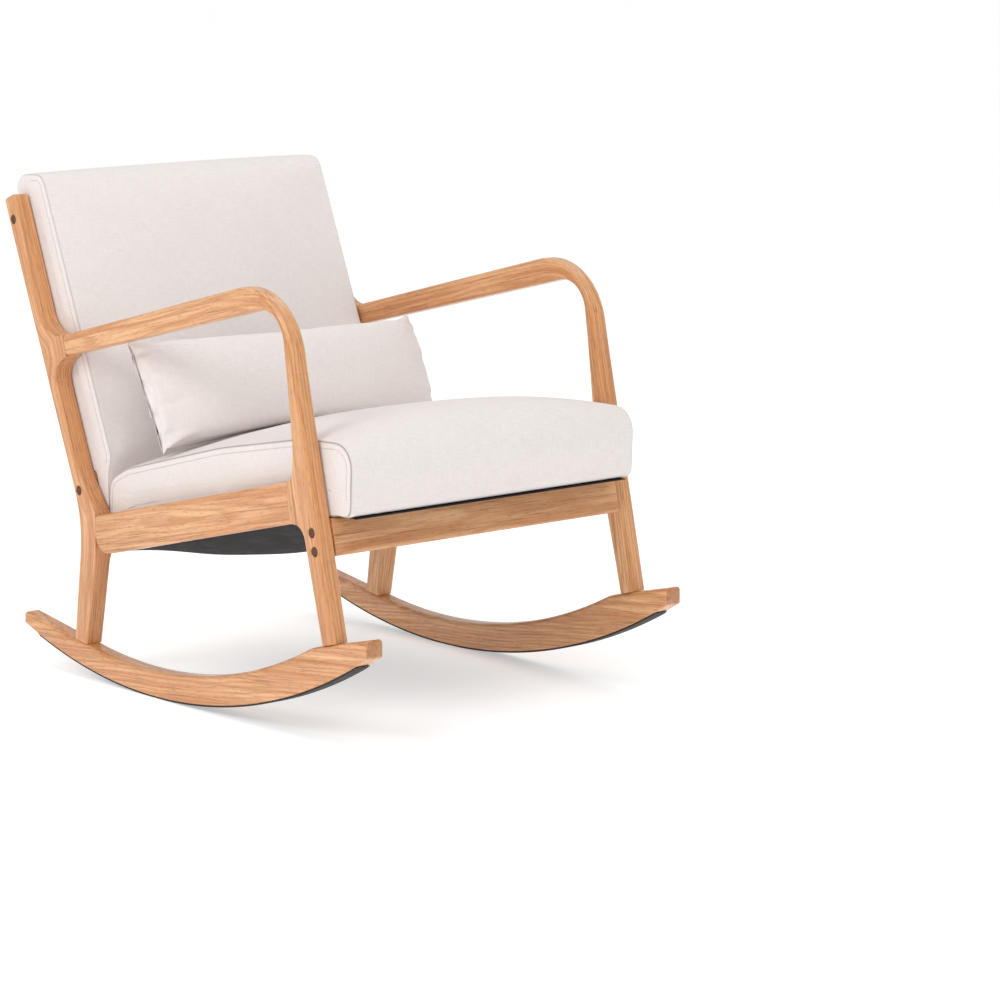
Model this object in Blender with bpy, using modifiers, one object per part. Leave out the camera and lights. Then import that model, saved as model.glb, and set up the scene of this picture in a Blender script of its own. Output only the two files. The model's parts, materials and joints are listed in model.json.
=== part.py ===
"""Rocking armchair: two board side frames on curved runners, tied together by a front and a rear
rail, with a padded seat, a padded back and a loose lumbar pillow.

Each side frame lies in one plane, so it is drawn as outlines in side view. A side-view point is
(f, h): f metres forward of the line where the runners touch the floor, h metres above the floor.
The chair faces -Y, and +X is the sitter's left.
"""

import math

import bmesh
import bpy
from mathutils import Euler, Vector

# Overall sizes, in metres
WIDTH = 0.611             # outside of one side frame to outside of the other
BOARD = 0.030             # thickness of every side-frame board
GAP = 0.0003              # clearance between pieces that touch
INNER = WIDTH / 2 - BOARD  # half the clear width between the side frames

# Runner
RUNNER_FRONT = 0.512
RUNNER_REAR = -0.345
RUNNER_RADIUS = 1.0       # curve of the face that rolls on the floor
RUNNER_TOP_RADIUS = 0.90
RUNNER_TOP_F = -0.025     # where the runner's top is lowest
RUNNER_TOP_H = 0.0413
TAIL_START = -0.160       # behind this the runner's top is a straight slope
TAIL_SLOPE = 0.159
FOOT_SLOPE = 0.244        # rise of the flat that carries the front leg
FOOT_START = (0.385, 0.1395)
PAD_THICKNESS = 0.004
PAD_WIDTH = 0.022
PAD_SPAN = (-0.310, 0.494)
REST_HALF = 0.030         # half the length of the flat that stands on the floor

# Rear post: its straight upper part leans back, its lower part leans the other way
POST_KNEE = (-0.1815, 0.246)
POST_LEAN = 0.4006        # metres back for each metre up
POST_DEPTH = 0.024        # front to back, level
POST_TOP_H = 0.729
POST_FOOT = (-0.206, -0.174)   # f of the foot's back and front edges

# Seat and rails, which share one slope
SEAT_SLOPE = 0.2375
RAIL_BOTTOM_H = 0.2325    # height of the side rail's lower edge above the contact line
FRAME_THICKNESS = 0.020
FRAME_FRONT = 0.405
FRAME_REAR = -0.150
FRAME_STILE = 0.042
FRAME_MEMBER = 0.050
SEAT_HALF = INNER - 0.003

# Front leg
LEG_FRONT = (0.352, 0.525)
LEG_RAKE = 0.2254         # metres back for each metre up, along the leg's front edge
LEG_FOOT_H = 0.151
LEG_FOOT_DEPTH = 0.029

# Rails between the side frames
FRONT_RAIL_LOW_H = 0.268
FRONT_RAIL_HIGH_H = 0.3244
FRONT_RAIL_DEPTH = 0.024
FRONT_RAIL_INSET = 0.0015  # behind the legs' front edges
REAR_RAIL_H = (0.243, 0.3175)
REAR_RAIL_DEPTH = 0.022
REAR_RAIL_LEAN = 0.22

# Webbing and dust cover
WEB_SPOTS = (-0.075, 0.045, 0.165, 0.285)
WEB_HALF_WIDTH = 0.025
WEB_THICKNESS = 0.0018
CLOTH_HALF = 0.262        # half the width of the webbing and of the dust cover
COVER_SAG = 0.030
COVER_FRONT = 0.362

# Back
BACK_HALF = INNER - 0.004
BACK_TOP_H = 0.768
BACK_BOTTOM_H = 0.352
BACK_BOARD_SPAN = (0.322, 0.742)
BACK_PANEL_OFFSETS = (0.0004, 0.0019)   # level distances from the post's back edge
BACK_BOARD_OFFSETS = (0.0022, 0.0232)
BOARD_HALF = INNER - 0.006
BACK_PAD_FRONT = 0.084    # level distance from the post's back edge to the pad's front

# Lumbar pillow
PILLOW_CENTRE = (-0.0965, 0.4520)
PILLOW_HALF = (0.258, 0.062, 0.086)
PILLOW_LEAN = math.radians(21.9)

# Fasteners
BOLT_RADIUS = 0.003
BOLT_HEAD = (0.0062, 0.004)
BOLT_LENGTH = 0.062
CAP = (0.0072, 0.0035)
CAP_SINK = 0.0012
BARREL = (0.005, 0.014)
SCREW_RADIUS = 0.0022
SCREW_HEAD = 0.0042
SCREW_HEAD_SINK = 0.0035
SEAT_SCREW_SPOTS = {"rear": -0.060, "front": 0.260}
SEAT_SCREW_LENGTH = 0.058
BACK_SCREW_X = 0.140
BACK_SCREW_LENGTH = 0.060
BACK_SCREW_DEPTH = 0.032  # of the head below the rear rail's top
BOLTS = {
    "leg_upper": (0.3868, 0.3065),
    "leg_lower": (0.3932, 0.2800),
    "seat": (-0.1885, 0.2934),
    "back": (-0.3515, 0.6984),
}

# The back pad's rounded upper corner is the rear-most point, and the middle of the length is Y = 0
REAR_TIP = -0.3844
MIDDLE_F = (RUNNER_FRONT + REAR_TIP) / 2

SIDES = {"right": -1, "left": 1}
ARC_STEP = math.radians(8)


# ---------------------------------------------------------------- scene and materials

def clear_scene():
    for obj in list(bpy.data.objects):
        bpy.data.objects.remove(obj, do_unlink=True)


def new_collection(name):
    collection = bpy.data.collections.new(name)
    bpy.context.scene.collection.children.link(collection)
    return collection


def principled(name, colour, roughness, metallic=0.0):
    material = bpy.data.materials.new(name)
    material.use_nodes = True
    shader = material.node_tree.nodes["Principled BSDF"]
    shader.inputs["Base Color"].default_value = (*colour, 1.0)
    shader.inputs["Roughness"].default_value = roughness
    shader.inputs["Metallic"].default_value = metallic
    return material


def finishes():
    return {
        "wood": ((0.68, 0.38, 0.18), 0.45, 0.0),
        "linen": ((0.80, 0.76, 0.73), 0.95, 0.0),
        "cloth_black": ((0.02, 0.02, 0.022), 0.95, 0.0),
        "webbing": ((0.55, 0.47, 0.36), 0.90, 0.0),
        "rubber": ((0.018, 0.018, 0.02), 0.80, 0.0),
        "cap_brown": ((0.11, 0.045, 0.02), 0.50, 0.0),
        "steel": ((0.55, 0.55, 0.56), 0.35, 1.0),
    }


def paint(obj, finish):
    colour, roughness, metallic = finishes()[finish]
    obj.data.materials.clear()
    obj.data.materials.append(principled(obj.name + "_" + finish, colour, roughness, metallic))


# ---------------------------------------------------------------- side-view geometry

def place(f, h):
    """World Y and Z of a side-view point."""
    return MIDDLE_F - f, h


def post_line(h):
    """f of the straight upper post's back edge at height h."""
    return POST_KNEE[0] - POST_LEAN * (h - POST_KNEE[1])


def leg_line(h):
    """f of the front leg's front edge at height h."""
    return LEG_FRONT[0] - LEG_RAKE * (h - LEG_FRONT[1])


def rail_line(f):
    """Height of the side rail's lower edge, which is also the seat's underside."""
    return RAIL_BOTTOM_H + SEAT_SLOPE * f


def foot_line(f):
    """Height of the runner's flat under the front leg."""
    return FOOT_START[1] + FOOT_SLOPE * (f - FOOT_START[0])


def circle_height(f, centre, radius):
    """Height of a circle's lower half at f, for a circle whose lowest point is centre."""
    return centre[1] + radius - math.sqrt(radius ** 2 - (f - centre[0]) ** 2)


def spread(first, last, count):
    return [first + (last - first) * i / count for i in range(count + 1)]


def rounded(corners):
    """Turns corners (f, h, radius) into an outline, with an arc at each corner that has a radius."""
    points = []
    for i, (f, h, radius) in enumerate(corners):
        corner = Vector((f, h))
        if radius == 0:
            points.append(corner)
            continue
        before = (Vector(corners[i - 1][:2]) - corner).normalized()
        after = (Vector(corners[(i + 1) % len(corners)][:2]) - corner).normalized()
        half = before.angle(after) / 2
        centre = corner + (before + after).normalized() * radius / math.sin(half)
        start = corner + before * radius / math.tan(half) - centre
        end = corner + after * radius / math.tan(half) - centre
        turn = start.angle_signed(end)
        count = max(2, math.ceil(abs(turn) / ARC_STEP))
        for k in range(count + 1):
            angle = -turn * k / count
            spoke = Vector((
                start.x * math.cos(angle) - start.y * math.sin(angle),
                start.x * math.sin(angle) + start.y * math.cos(angle),
            ))
            points.append(centre + spoke)
    return points


# ---------------------------------------------------------------- building tools

def board(name, outline, x_low, x_high, finish, collection):
    """A flat board: a side-view outline filled and given thickness between two X planes."""
    curve = bpy.data.curves.new(name + "_outline", "CURVE")
    curve.dimensions = "2D"
    curve.fill_mode = "BOTH"
    curve.extrude = (x_high - x_low) / 2
    spline = curve.splines.new("POLY")
    spline.points.add(len(outline) - 1)
    for point, (f, h) in zip(spline.points, outline):
        point.co = (*place(f, h), 0.0, 1.0)
    spline.use_cyclic_u = True
    guide = bpy.data.objects.new(name + "_outline", curve)
    collection.objects.link(guide)
    evaluated = guide.evaluated_get(bpy.context.evaluated_depsgraph_get())
    mesh = bpy.data.meshes.new_from_object(evaluated)
    bpy.data.objects.remove(guide, do_unlink=True)
    mesh.name = name
    tidy_mesh(mesh)
    obj = bpy.data.objects.new(name, mesh)
    # The outline's local X, Y and normal become world Y, Z and X
    obj.location.x = (x_low + x_high) / 2
    obj.rotation_euler = Euler((math.pi / 2, 0, math.pi / 2))
    collection.objects.link(obj)
    paint(obj, finish)
    return obj


def tidy_mesh(mesh):
    """Welds the caps to the walls and merges each cap into one face."""
    shape = bmesh.new()
    shape.from_mesh(mesh)
    bmesh.ops.remove_doubles(shape, verts=shape.verts, dist=0.00001)
    bmesh.ops.dissolve_limit(shape, angle_limit=math.radians(0.4), verts=shape.verts, edges=shape.edges)
    bmesh.ops.recalc_face_normals(shape, faces=shape.faces)
    shape.to_mesh(mesh)
    shape.free()


def round_edges(obj, width, segments, joints=()):
    """Rounds a board's long edges. An edge that lies between two joint points stays sharp."""
    mesh = obj.data
    weights = mesh.attributes.new("bevel_weight_edge", "FLOAT", "EDGE")
    spots = [place(f, h) for f, h in joints]

    def at_joint(vertex):
        return any(math.dist(vertex.co[:2], spot) < 0.0005 for spot in spots)

    for edge in mesh.edges:
        first, second = (mesh.vertices[index] for index in edge.vertices)
        along_rim = abs(first.co.z - second.co.z) < 0.00001
        weights.data[edge.index].value = float(along_rim and not (at_joint(first) and at_joint(second)))
    bevel = obj.modifiers.new("Rounded edges", "BEVEL")
    bevel.limit_method = "WEIGHT"
    bevel.width = width
    bevel.segments = segments


def turned(name, profile, steps, location, rotation, finish, collection):
    """A turned piece: (radius, x) points run about local Z by a Screw modifier."""
    mesh = bpy.data.meshes.new(name)
    points = [(radius, 0.0, z) for radius, z in profile]
    mesh.from_pydata(points, [(i, i + 1) for i in range(len(points) - 1)], [])
    obj = bpy.data.objects.new(name, mesh)
    collection.objects.link(obj)
    obj.location = location
    obj.rotation_euler = rotation
    screw = obj.modifiers.new("Turned", "SCREW")
    screw.steps = steps
    screw.render_steps = steps
    screw.use_merge_vertices = True
    screw.merge_threshold = 0.00002
    paint(obj, finish)
    return obj


def hole(target, name, start, end, radius, cutters, sides=12):
    """Cuts a round hole between two world points."""
    start, end = Vector(start), Vector(end)
    mesh = bpy.data.meshes.new(name)
    shape = bmesh.new()
    bmesh.ops.create_cone(
        shape, cap_ends=True, segments=sides, radius1=radius, radius2=radius, depth=(end - start).length
    )
    shape.to_mesh(mesh)
    shape.free()
    cutter = bpy.data.objects.new(name, mesh)
    cutter.location = (start + end) / 2
    cutter.rotation_euler = (end - start).to_track_quat("Z", "Y").to_euler()
    cutter.hide_render = True
    cutter.display_type = "WIRE"
    cutters.objects.link(cutter)
    cut = target.modifiers.new(name, "BOOLEAN")
    cut.operation = "DIFFERENCE"
    cut.solver = "EXACT"
    cut.object = cutter


def facing(side):
    """Rotation that points local Z outwards, towards one side of the chair."""
    return Euler((0, side * math.pi / 2, 0))


# ---------------------------------------------------------------- side frames

def runner_top_arc(f):
    return circle_height(f, (RUNNER_TOP_F, RUNNER_TOP_H), RUNNER_TOP_RADIUS)


def runner_tail(f):
    """Height of the runner's top along its straight tail."""
    return runner_top_arc(TAIL_START) + TAIL_SLOPE * (TAIL_START - f)


def runner_outline():
    low = [(f, circle_height(f, (0, PAD_THICKNESS), RUNNER_RADIUS))
           for f in spread(RUNNER_REAR, RUNNER_FRONT, 26)]
    top = [(f, runner_top_arc(f)) for f in spread(FOOT_START[0] - 0.003, TAIL_START, 18)]
    tip_h = foot_line(RUNNER_FRONT)
    tail_h = runner_tail(RUNNER_REAR)
    nose = [
        (RUNNER_FRONT, tip_h - 0.007),
        (RUNNER_FRONT - 0.002, tip_h - 0.002),
        (RUNNER_FRONT - 0.007, tip_h - 0.0015),
    ]
    tail = [(RUNNER_REAR + 0.004, tail_h - 0.0005), (RUNNER_REAR, tail_h - 0.005)]
    return low + nose + [FOOT_START] + top + tail


def post_outline():
    back_foot, front_foot = POST_FOOT
    top_back = post_line(POST_TOP_H)
    low_front = post_line(0.315) + POST_DEPTH
    return rounded([
        (back_foot, runner_tail(back_foot) + GAP, 0),
        (*POST_KNEE, 0.20),
        (top_back, POST_TOP_H, 0.007),
        (top_back + POST_DEPTH, POST_TOP_H + POST_LEAN * POST_DEPTH, 0.007),
        (post_line(0.520) + POST_DEPTH, 0.520, 0.045),
        (*ARM_JOINT[0], 0),
        (*ARM_JOINT[1], 0),
        (post_line(0.474) + POST_DEPTH, 0.474, 0.028),
        (low_front, 0.315, 0.08),
        (*REAR_RAIL_JOINT[0], 0),
        (*REAR_RAIL_JOINT[1], 0),
        (front_foot, runner_tail(front_foot) + GAP, 0),
    ])


# Lines where the boards of a side frame meet, each given by its two ends, (f, h)
ARM_JOINT = ((-0.2235, 0.5310), (-0.2155, 0.4990))
LEG_JOINT = ((0.3510, 0.5300), (0.3305, 0.5255))
REAR_RAIL_JOINT = ((-0.1445, 0.2600), (-0.1455, 0.1975))
FRONT_RAIL_JOINT = ((0.3310, 0.3735), (0.3365, 0.3125))


def shifted(point, f=0.0, h=0.0):
    return point[0] + f, point[1] + h


def arm_outline():
    rear_top, rear_low = (shifted(p, f=GAP) for p in ARM_JOINT)
    front, rear = (shifted(p, h=GAP) for p in LEG_JOINT)
    return rounded([
        (*rear_top, 0),
        (0.3200, 0.6660, 0.110),
        (*front, 0),
        (*rear, 0),
        (0.3165, 0.6260, 0.048),
        (*rear_low, 0),
    ])


def leg_foot():
    """The leg's front and rear corners where it stands on the runner."""
    front = leg_line(LEG_FOOT_H)
    return [(f, foot_line(f) + GAP) for f in (front, front - LEG_FOOT_DEPTH)]


def leg_outline():
    haunch = 0.3625
    front_foot, rear_foot = leg_foot()
    return rounded([
        (*LEG_JOINT[1], 0),
        (*LEG_JOINT[0], 0),
        (*front_foot, 0),
        (*rear_foot, 0),
        (haunch, rail_line(haunch) - 0.001, 0.024),
        (*FRONT_RAIL_JOINT[1], 0),
        (*FRONT_RAIL_JOINT[0], 0),
        (0.3405, 0.3757, 0.012),
        (0.3425, 0.4250, 0.150),
    ])


def side_rail_outline():
    rear_top, rear_low = (shifted(p, f=GAP) for p in REAR_RAIL_JOINT)
    front_top, front_low = (shifted(p, f=-GAP) for p in FRONT_RAIL_JOINT)
    return rounded([
        (*rear_top, 0),
        (*front_top, 0),
        (*front_low, 0),
        (*rear_low, 0.024),
    ])


def pad_outline():
    """The floor pad follows the runner, and is flat for a short way where it rests on the floor."""
    rear, front = PAD_SPAN
    stations = spread(rear, -REST_HALF, 10) + spread(REST_HALF, front, 16)
    sink = circle_height(REST_HALF, (0, 0), RUNNER_RADIUS)
    lower = [(f, circle_height(f, (0, -sink), RUNNER_RADIUS)) for f in stations]
    upper = [(f, circle_height(f, (0, PAD_THICKNESS), RUNNER_RADIUS) - GAP) for f in stations]
    upper = [(f, h - sink) if abs(f) <= REST_HALF else (f, h) for f, h in upper]
    return lower + upper[::-1]


def side_frame(name, side, parts, cutters):
    """The five boards of one side frame and its floor pad. Returns the side rail."""
    x_out = side * WIDTH / 2
    x_in = side * INNER
    span = (min(x_out, x_in), max(x_out, x_in))
    pad_x = sum(span) / 2 - PAD_WIDTH / 2
    runner = board("rocker_" + name, runner_outline(), *span, "wood", parts)
    round_edges(runner, 0.005, 2)
    board("rocker_pad_" + name, pad_outline(), pad_x, pad_x + PAD_WIDTH, "rubber", parts)
    post = board("rear_post_" + name, post_outline(), *span, "wood", parts)
    foot = [(f, runner_tail(f) + GAP) for f in POST_FOOT]
    round_edges(post, 0.004, 2, [*REAR_RAIL_JOINT, *foot])
    arm = board("armrest_" + name, arm_outline(), *span, "wood", parts)
    round_edges(arm, 0.007, 2, [shifted(p, h=GAP) for p in LEG_JOINT])
    leg = board("front_leg_" + name, leg_outline(), *span, "wood", parts)
    round_edges(leg, 0.007, 2, [*LEG_JOINT, *FRONT_RAIL_JOINT, *leg_foot()])
    rail = board("side_rail_" + name, side_rail_outline(), *span, "wood", parts)
    ends = [shifted(REAR_RAIL_JOINT[0], f=GAP)]
    ends += [shifted(p, f=-GAP) for p in FRONT_RAIL_JOINT]
    round_edges(rail, 0.004, 2, ends)
    for key, target in (("leg_upper", leg), ("leg_lower", leg), ("seat", post), ("back", post)):
        y, z = place(*BOLTS[key])
        outside = (x_out + side * 0.01, y, z)
        inside = (x_in - side * 0.01, y, z)
        seat = (x_out - side * (CAP[1] + CAP_SINK + BOLT_HEAD[1] + 3 * GAP), y, z)
        hole(target, key + "_recess_" + name, outside, seat, CAP[0] + GAP, cutters)
        hole(target, key + "_shank_" + name, outside, inside, BOLT_RADIUS + GAP, cutters)
    return rail


# ---------------------------------------------------------------- cross pieces

def front_rail_outline():
    """The front rail leans with the legs, and its top slopes with the seat's underside."""
    low = leg_line(FRONT_RAIL_LOW_H) - FRONT_RAIL_INSET
    high = leg_line(FRONT_RAIL_HIGH_H) - FRONT_RAIL_INSET
    return [
        (low, FRONT_RAIL_LOW_H),
        (high, rail_line(high) - 0.001),
        (high - FRONT_RAIL_DEPTH, rail_line(high - FRONT_RAIL_DEPTH) - 0.001),
        (low - FRONT_RAIL_DEPTH, FRONT_RAIL_LOW_H),
    ]


def rear_rail_middle(h):
    """f of the rear rail's middle at height h; the seat bolts run through it."""
    return BOLTS["seat"][0] - REAR_RAIL_LEAN * (h - BOLTS["seat"][1])


def rear_rail_outline():
    low, high = REAR_RAIL_H
    half = REAR_RAIL_DEPTH / 2
    return [
        (rear_rail_middle(low) + half, low),
        (rear_rail_middle(high) + half, high),
        (rear_rail_middle(high) - half, high),
        (rear_rail_middle(low) - half, low),
    ]


def cross_rails(parts, cutters):
    reach = INNER - GAP
    front = board("front_rail", front_rail_outline(), -reach, reach, "wood", parts)
    round_edges(front, 0.003, 2)
    rear = board("rear_rail", rear_rail_outline(), -reach, reach, "wood", parts)
    round_edges(rear, 0.003, 2)
    return front, rear


def slab(f_low, f_high, base, thickness):
    """Outline of a flat layer above the side rails' lower edge, from base to base + thickness."""
    return [
        (f_low, rail_line(f_low) + base),
        (f_high, rail_line(f_high) + base),
        (f_high, rail_line(f_high) + base + thickness),
        (f_low, rail_line(f_low) + base + thickness),
    ]


def seat_frame(parts):
    """Two stiles along the side rails, with a front and a rear member between them."""
    reach = INNER - 0.001
    inside = reach - FRAME_STILE
    length = slab(FRAME_REAR, FRAME_FRONT, GAP, FRAME_THICKNESS)
    stiles = {
        "right": board("seat_stile_right", length, -reach, -inside, "wood", parts),
        "left": board("seat_stile_left", length, inside, reach, "wood", parts),
    }
    for name, low in (("rear", FRAME_REAR), ("front", FRAME_FRONT - FRAME_MEMBER)):
        outline = slab(low, low + FRAME_MEMBER, GAP, FRAME_THICKNESS)
        board("seat_member_" + name, outline, GAP - inside, inside - GAP, "wood", parts)
    return stiles


def webbing(parts):
    base = FRAME_THICKNESS + 2 * GAP
    for number, f in enumerate(WEB_SPOTS, start=1):
        outline = slab(f - WEB_HALF_WIDTH, f + WEB_HALF_WIDTH, base, WEB_THICKNESS)
        board(f"seat_webbing_{number}", outline, -CLOTH_HALF, CLOTH_HALF, "webbing", parts)


def seat_cushion(parts):
    base = FRAME_THICKNESS + 0.003
    lip = FRAME_FRONT + 0.001
    outline = rounded([
        (FRAME_REAR, rail_line(FRAME_REAR) + base, 0),
        (lip, rail_line(lip) + base, 0),
        (lip, rail_line(lip) + 0.0015, 0),
        (0.4400, rail_line(lip) + 0.0015, 0.016),
        (0.4440, 0.4470, 0.046),
        (0.3300, 0.4440, 0.250),
        (0.1300, 0.4060, 0.500),
        (-0.1050, 0.3440, 0.060),
        (-0.1480, 0.3200, 0.022),
    ])
    obj = board("seat_cushion", outline, -SEAT_HALF, SEAT_HALF, "linen", parts)
    round_edges(obj, 0.008, 2)
    return obj


def dust_cover(parts):
    """Thin cloth under the seat frame that bellies down in the middle."""
    rear = FRAME_REAR + 0.006
    half_length = (COVER_FRONT - rear) / 2
    shape = bmesh.new()
    bmesh.ops.create_grid(shape, x_segments=10, y_segments=10, size=1.0)
    for vertex in shape.verts:
        across, along = vertex.co.x, vertex.co.y
        f = rear + half_length * (1 + along)
        belly = COVER_SAG * (1 - across ** 2) * (1 - abs(along) ** 3)
        y, z = place(f, rail_line(f) - 0.0005 - belly)
        vertex.co = (across * CLOTH_HALF, y, z)
    bmesh.ops.recalc_face_normals(shape, faces=shape.faces)
    mesh = bpy.data.meshes.new("dust_cover")
    shape.to_mesh(mesh)
    shape.free()
    obj = bpy.data.objects.new("dust_cover", mesh)
    parts.objects.link(obj)
    wall = obj.modifiers.new("Cloth", "SOLIDIFY")
    wall.thickness = 0.0012
    wall.offset = 1.0 if mesh.polygons[0].normal.z < 0 else -1.0
    paint(obj, "cloth_black")
    return obj


# ---------------------------------------------------------------- back

def back_layer(low, high, rear, front):
    """Outline of a layer between two level offsets from the post's back edge."""
    return [
        (post_line(low) + rear, low),
        (post_line(low) + front, low),
        (post_line(high) + front, high),
        (post_line(high) + rear, high),
    ]


def back_board(parts):
    """Plywood board behind the back pad, bolted between the posts."""
    outline = back_layer(*BACK_BOARD_SPAN, *BACK_BOARD_OFFSETS)
    return board("back_board", outline, -BOARD_HALF, BOARD_HALF, "wood", parts)


def back_panel(parts):
    """Cloth panel that closes the back behind the board."""
    outline = back_layer(*BACK_BOARD_SPAN, *BACK_PANEL_OFFSETS)
    board("back_panel", outline, -BOARD_HALF, BOARD_HALF, "linen", parts)


def back_cushion(parts):
    board_top = BACK_BOARD_SPAN[1] + 0.002
    rear = BACK_BOARD_OFFSETS[1] + 0.0008
    outline = rounded([
        (post_line(BACK_BOTTOM_H) + rear, BACK_BOTTOM_H, 0),
        (post_line(BACK_BOTTOM_H) + BACK_PAD_FRONT, BACK_BOTTOM_H + 0.012, 0.020),
        (post_line(BACK_TOP_H) + BACK_PAD_FRONT, BACK_TOP_H, 0.035),
        (post_line(BACK_TOP_H) + 0.0005, BACK_TOP_H, 0.012),
        (post_line(board_top) + 0.0005, board_top, 0),
        (post_line(board_top) + rear, board_top, 0),
    ])
    obj = board("back_cushion", outline, -BACK_HALF, BACK_HALF, "linen", parts)
    round_edges(obj, 0.010, 2)
    return obj


def pillow(parts):
    """Lumbar pillow: a coarse box cage, pulled in at its edges, smoothed by subdivision."""
    half_width, half_thick, half_high = PILLOW_HALF
    shape = bmesh.new()
    bmesh.ops.create_cube(shape, size=2.0)
    bmesh.ops.subdivide_edges(shape, edges=shape.edges, cuts=3, use_grid_fill=True)
    for vertex in shape.verts:
        x, y, z = vertex.co
        edge = max(abs(x), abs(z))
        thin = 0.35 if edge > 0.9 else 1.0
        vertex.co = (x * half_width * 1.03, y * half_thick * 1.10 * thin, z * half_high * 1.06)
    mesh = bpy.data.meshes.new("pillow")
    shape.to_mesh(mesh)
    shape.free()
    obj = bpy.data.objects.new("pillow", mesh)
    y, z = place(*PILLOW_CENTRE)
    obj.location = (0, y, z)
    obj.rotation_euler = (-PILLOW_LEAN, 0, 0)
    parts.objects.link(obj)
    smooth = obj.modifiers.new("Soft form", "SUBSURF")
    smooth.levels = 1
    smooth.render_levels = 1
    paint(obj, "linen")
    return obj


# ---------------------------------------------------------------- hardware

def bolt_profile():
    head_radius, head_height = BOLT_HEAD
    return [
        (0.0, head_height), (head_radius - 0.0012, head_height), (head_radius, head_height - 0.0012),
        (head_radius, 0.0), (BOLT_RADIUS, 0.0), (BOLT_RADIUS, 0.001 - BOLT_LENGTH),
        (BOLT_RADIUS - 0.001, -BOLT_LENGTH), (0.0, -BOLT_LENGTH),
    ]


def cap_profile():
    radius, height = CAP
    return [(0.0, height), (radius - 0.0008, height), (radius, height - 0.0008), (radius, 0.0), (0.0, 0.0)]


def barrel_direction(key):
    """Side-view direction of a barrel nut: square to the face of the piece that holds it."""
    if key == "back":
        return Vector((1.0, POST_LEAN)).normalized()
    if key == "seat":
        return Vector((1.0, REAR_RAIL_LEAN)).normalized()
    return Vector((-1.0, -LEG_RAKE)).normalized()


def bolts(name, side, holders, parts, cutters):
    """Bolt, cap and barrel nut at each bolt position of one side, with the holes that they need."""
    x_out = side * WIDTH / 2
    x_seat = x_out - side * (CAP[1] + CAP_SINK + BOLT_HEAD[1] + 2 * GAP)
    nut_x = x_seat - side * (BOLT_LENGTH - 0.010)
    for key, spot in BOLTS.items():
        y, z = place(*spot)
        turned(f"bolt_{key}_{name}", bolt_profile(), 12, (x_seat, y, z), facing(side), "steel", parts)
        cap_x = x_out - side * (CAP[1] + CAP_SINK)
        turned(f"cap_{key}_{name}", cap_profile(), 16, (cap_x, y, z), facing(side), "cap_brown", parts)
        holder = holders[key]
        hole(holder, f"bolt_{key}_{name}", (x_out, y, z), (x_seat - side * (BOLT_LENGTH + 0.002), y, z),
             BOLT_RADIUS + GAP, cutters)
        direction = barrel_direction(key)
        along = Vector((0, -direction.x, direction.y))
        centre = Vector((nut_x, y, z))
        blind_end = centre - along * (BARREL[1] / 2 + GAP)
        hole(holder, f"barrel_{key}_{name}", blind_end, centre + along * 0.03, BARREL[0] + GAP, cutters)
        barrel_nut(f"barrel_nut_{key}_{name}", centre, along, side, parts, cutters)


def barrel_nut(name, centre, along, side, parts, cutters):
    radius, length = BARREL
    mesh = bpy.data.meshes.new(name)
    shape = bmesh.new()
    bmesh.ops.create_cone(shape, cap_ends=True, segments=16, radius1=radius, radius2=radius, depth=length)
    shape.to_mesh(mesh)
    shape.free()
    obj = bpy.data.objects.new(name, mesh)
    obj.location = centre
    obj.rotation_euler = along.to_track_quat("Z", "X").to_euler()
    parts.objects.link(obj)
    paint(obj, "steel")
    reach = Vector((side * 0.02, 0, 0))
    hole(obj, name + "_bore", centre - reach, centre + reach, BOLT_RADIUS + GAP, cutters)


def screw_profile(length):
    return [
        (0.0, 0.0), (SCREW_HEAD, 0.0), (SCREW_HEAD, -0.0006), (SCREW_RADIUS, -0.003),
        (SCREW_RADIUS, 0.006 - length), (0.0006, -length), (0.0, -length),
    ]


def screw_hole(target, tag, start, direction, length, cutters):
    end = start + direction * (length + 0.001)
    hole(target, tag, start, end, SCREW_RADIUS + GAP, cutters, 10)


def seat_screws(name, side, stile, rail, parts, cutters):
    """Two screws from the inner edge of a seat stile into the side rail."""
    start_x = side * (INNER - 0.001 - FRAME_STILE + 0.0005)
    out = Vector((side, 0, 0))
    for end, f in SEAT_SCREW_SPOTS.items():
        y, z = place(f, rail_line(f) + 0.0105)
        start = Vector((start_x, y, z))
        tag = f"seat_screw_{end}_{name}"
        turned(tag, screw_profile(SEAT_SCREW_LENGTH), 10, start, facing(-side), "steel", parts)
        sink = start + out * SCREW_HEAD_SINK
        hole(stile, tag + "_head", start - out * 0.01, sink, SCREW_HEAD + GAP, cutters)
        screw_hole(stile, tag + "_clear", start, out, SEAT_SCREW_LENGTH, cutters)
        screw_hole(rail, tag + "_pilot", start, out, SEAT_SCREW_LENGTH, cutters)


def back_screws(back, rear_rail, parts, cutters):
    """Two screws that rise through the rear rail into the lower edge of the back board."""
    up = Vector((0, REAR_RAIL_LEAN, 1)).normalized()
    rotation = (-up).to_track_quat("Z", "Y").to_euler()
    top = REAR_RAIL_H[1]
    y, z = place(rear_rail_middle(top), top)
    for name, side in SIDES.items():
        start = Vector((side * BACK_SCREW_X, y, z)) - up * BACK_SCREW_DEPTH
        tag = "back_screw_" + name
        turned(tag, screw_profile(BACK_SCREW_LENGTH), 10, start, rotation, "steel", parts)
        sink = start + up * SCREW_HEAD_SINK
        hole(rear_rail, tag + "_head", start - up * 0.06, sink, SCREW_HEAD + GAP, cutters)
        screw_hole(rear_rail, tag + "_clear", start, up, BACK_SCREW_LENGTH, cutters)
        screw_hole(back, tag + "_pilot", start, up, BACK_SCREW_LENGTH, cutters)


# ---------------------------------------------------------------- assembly

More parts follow.
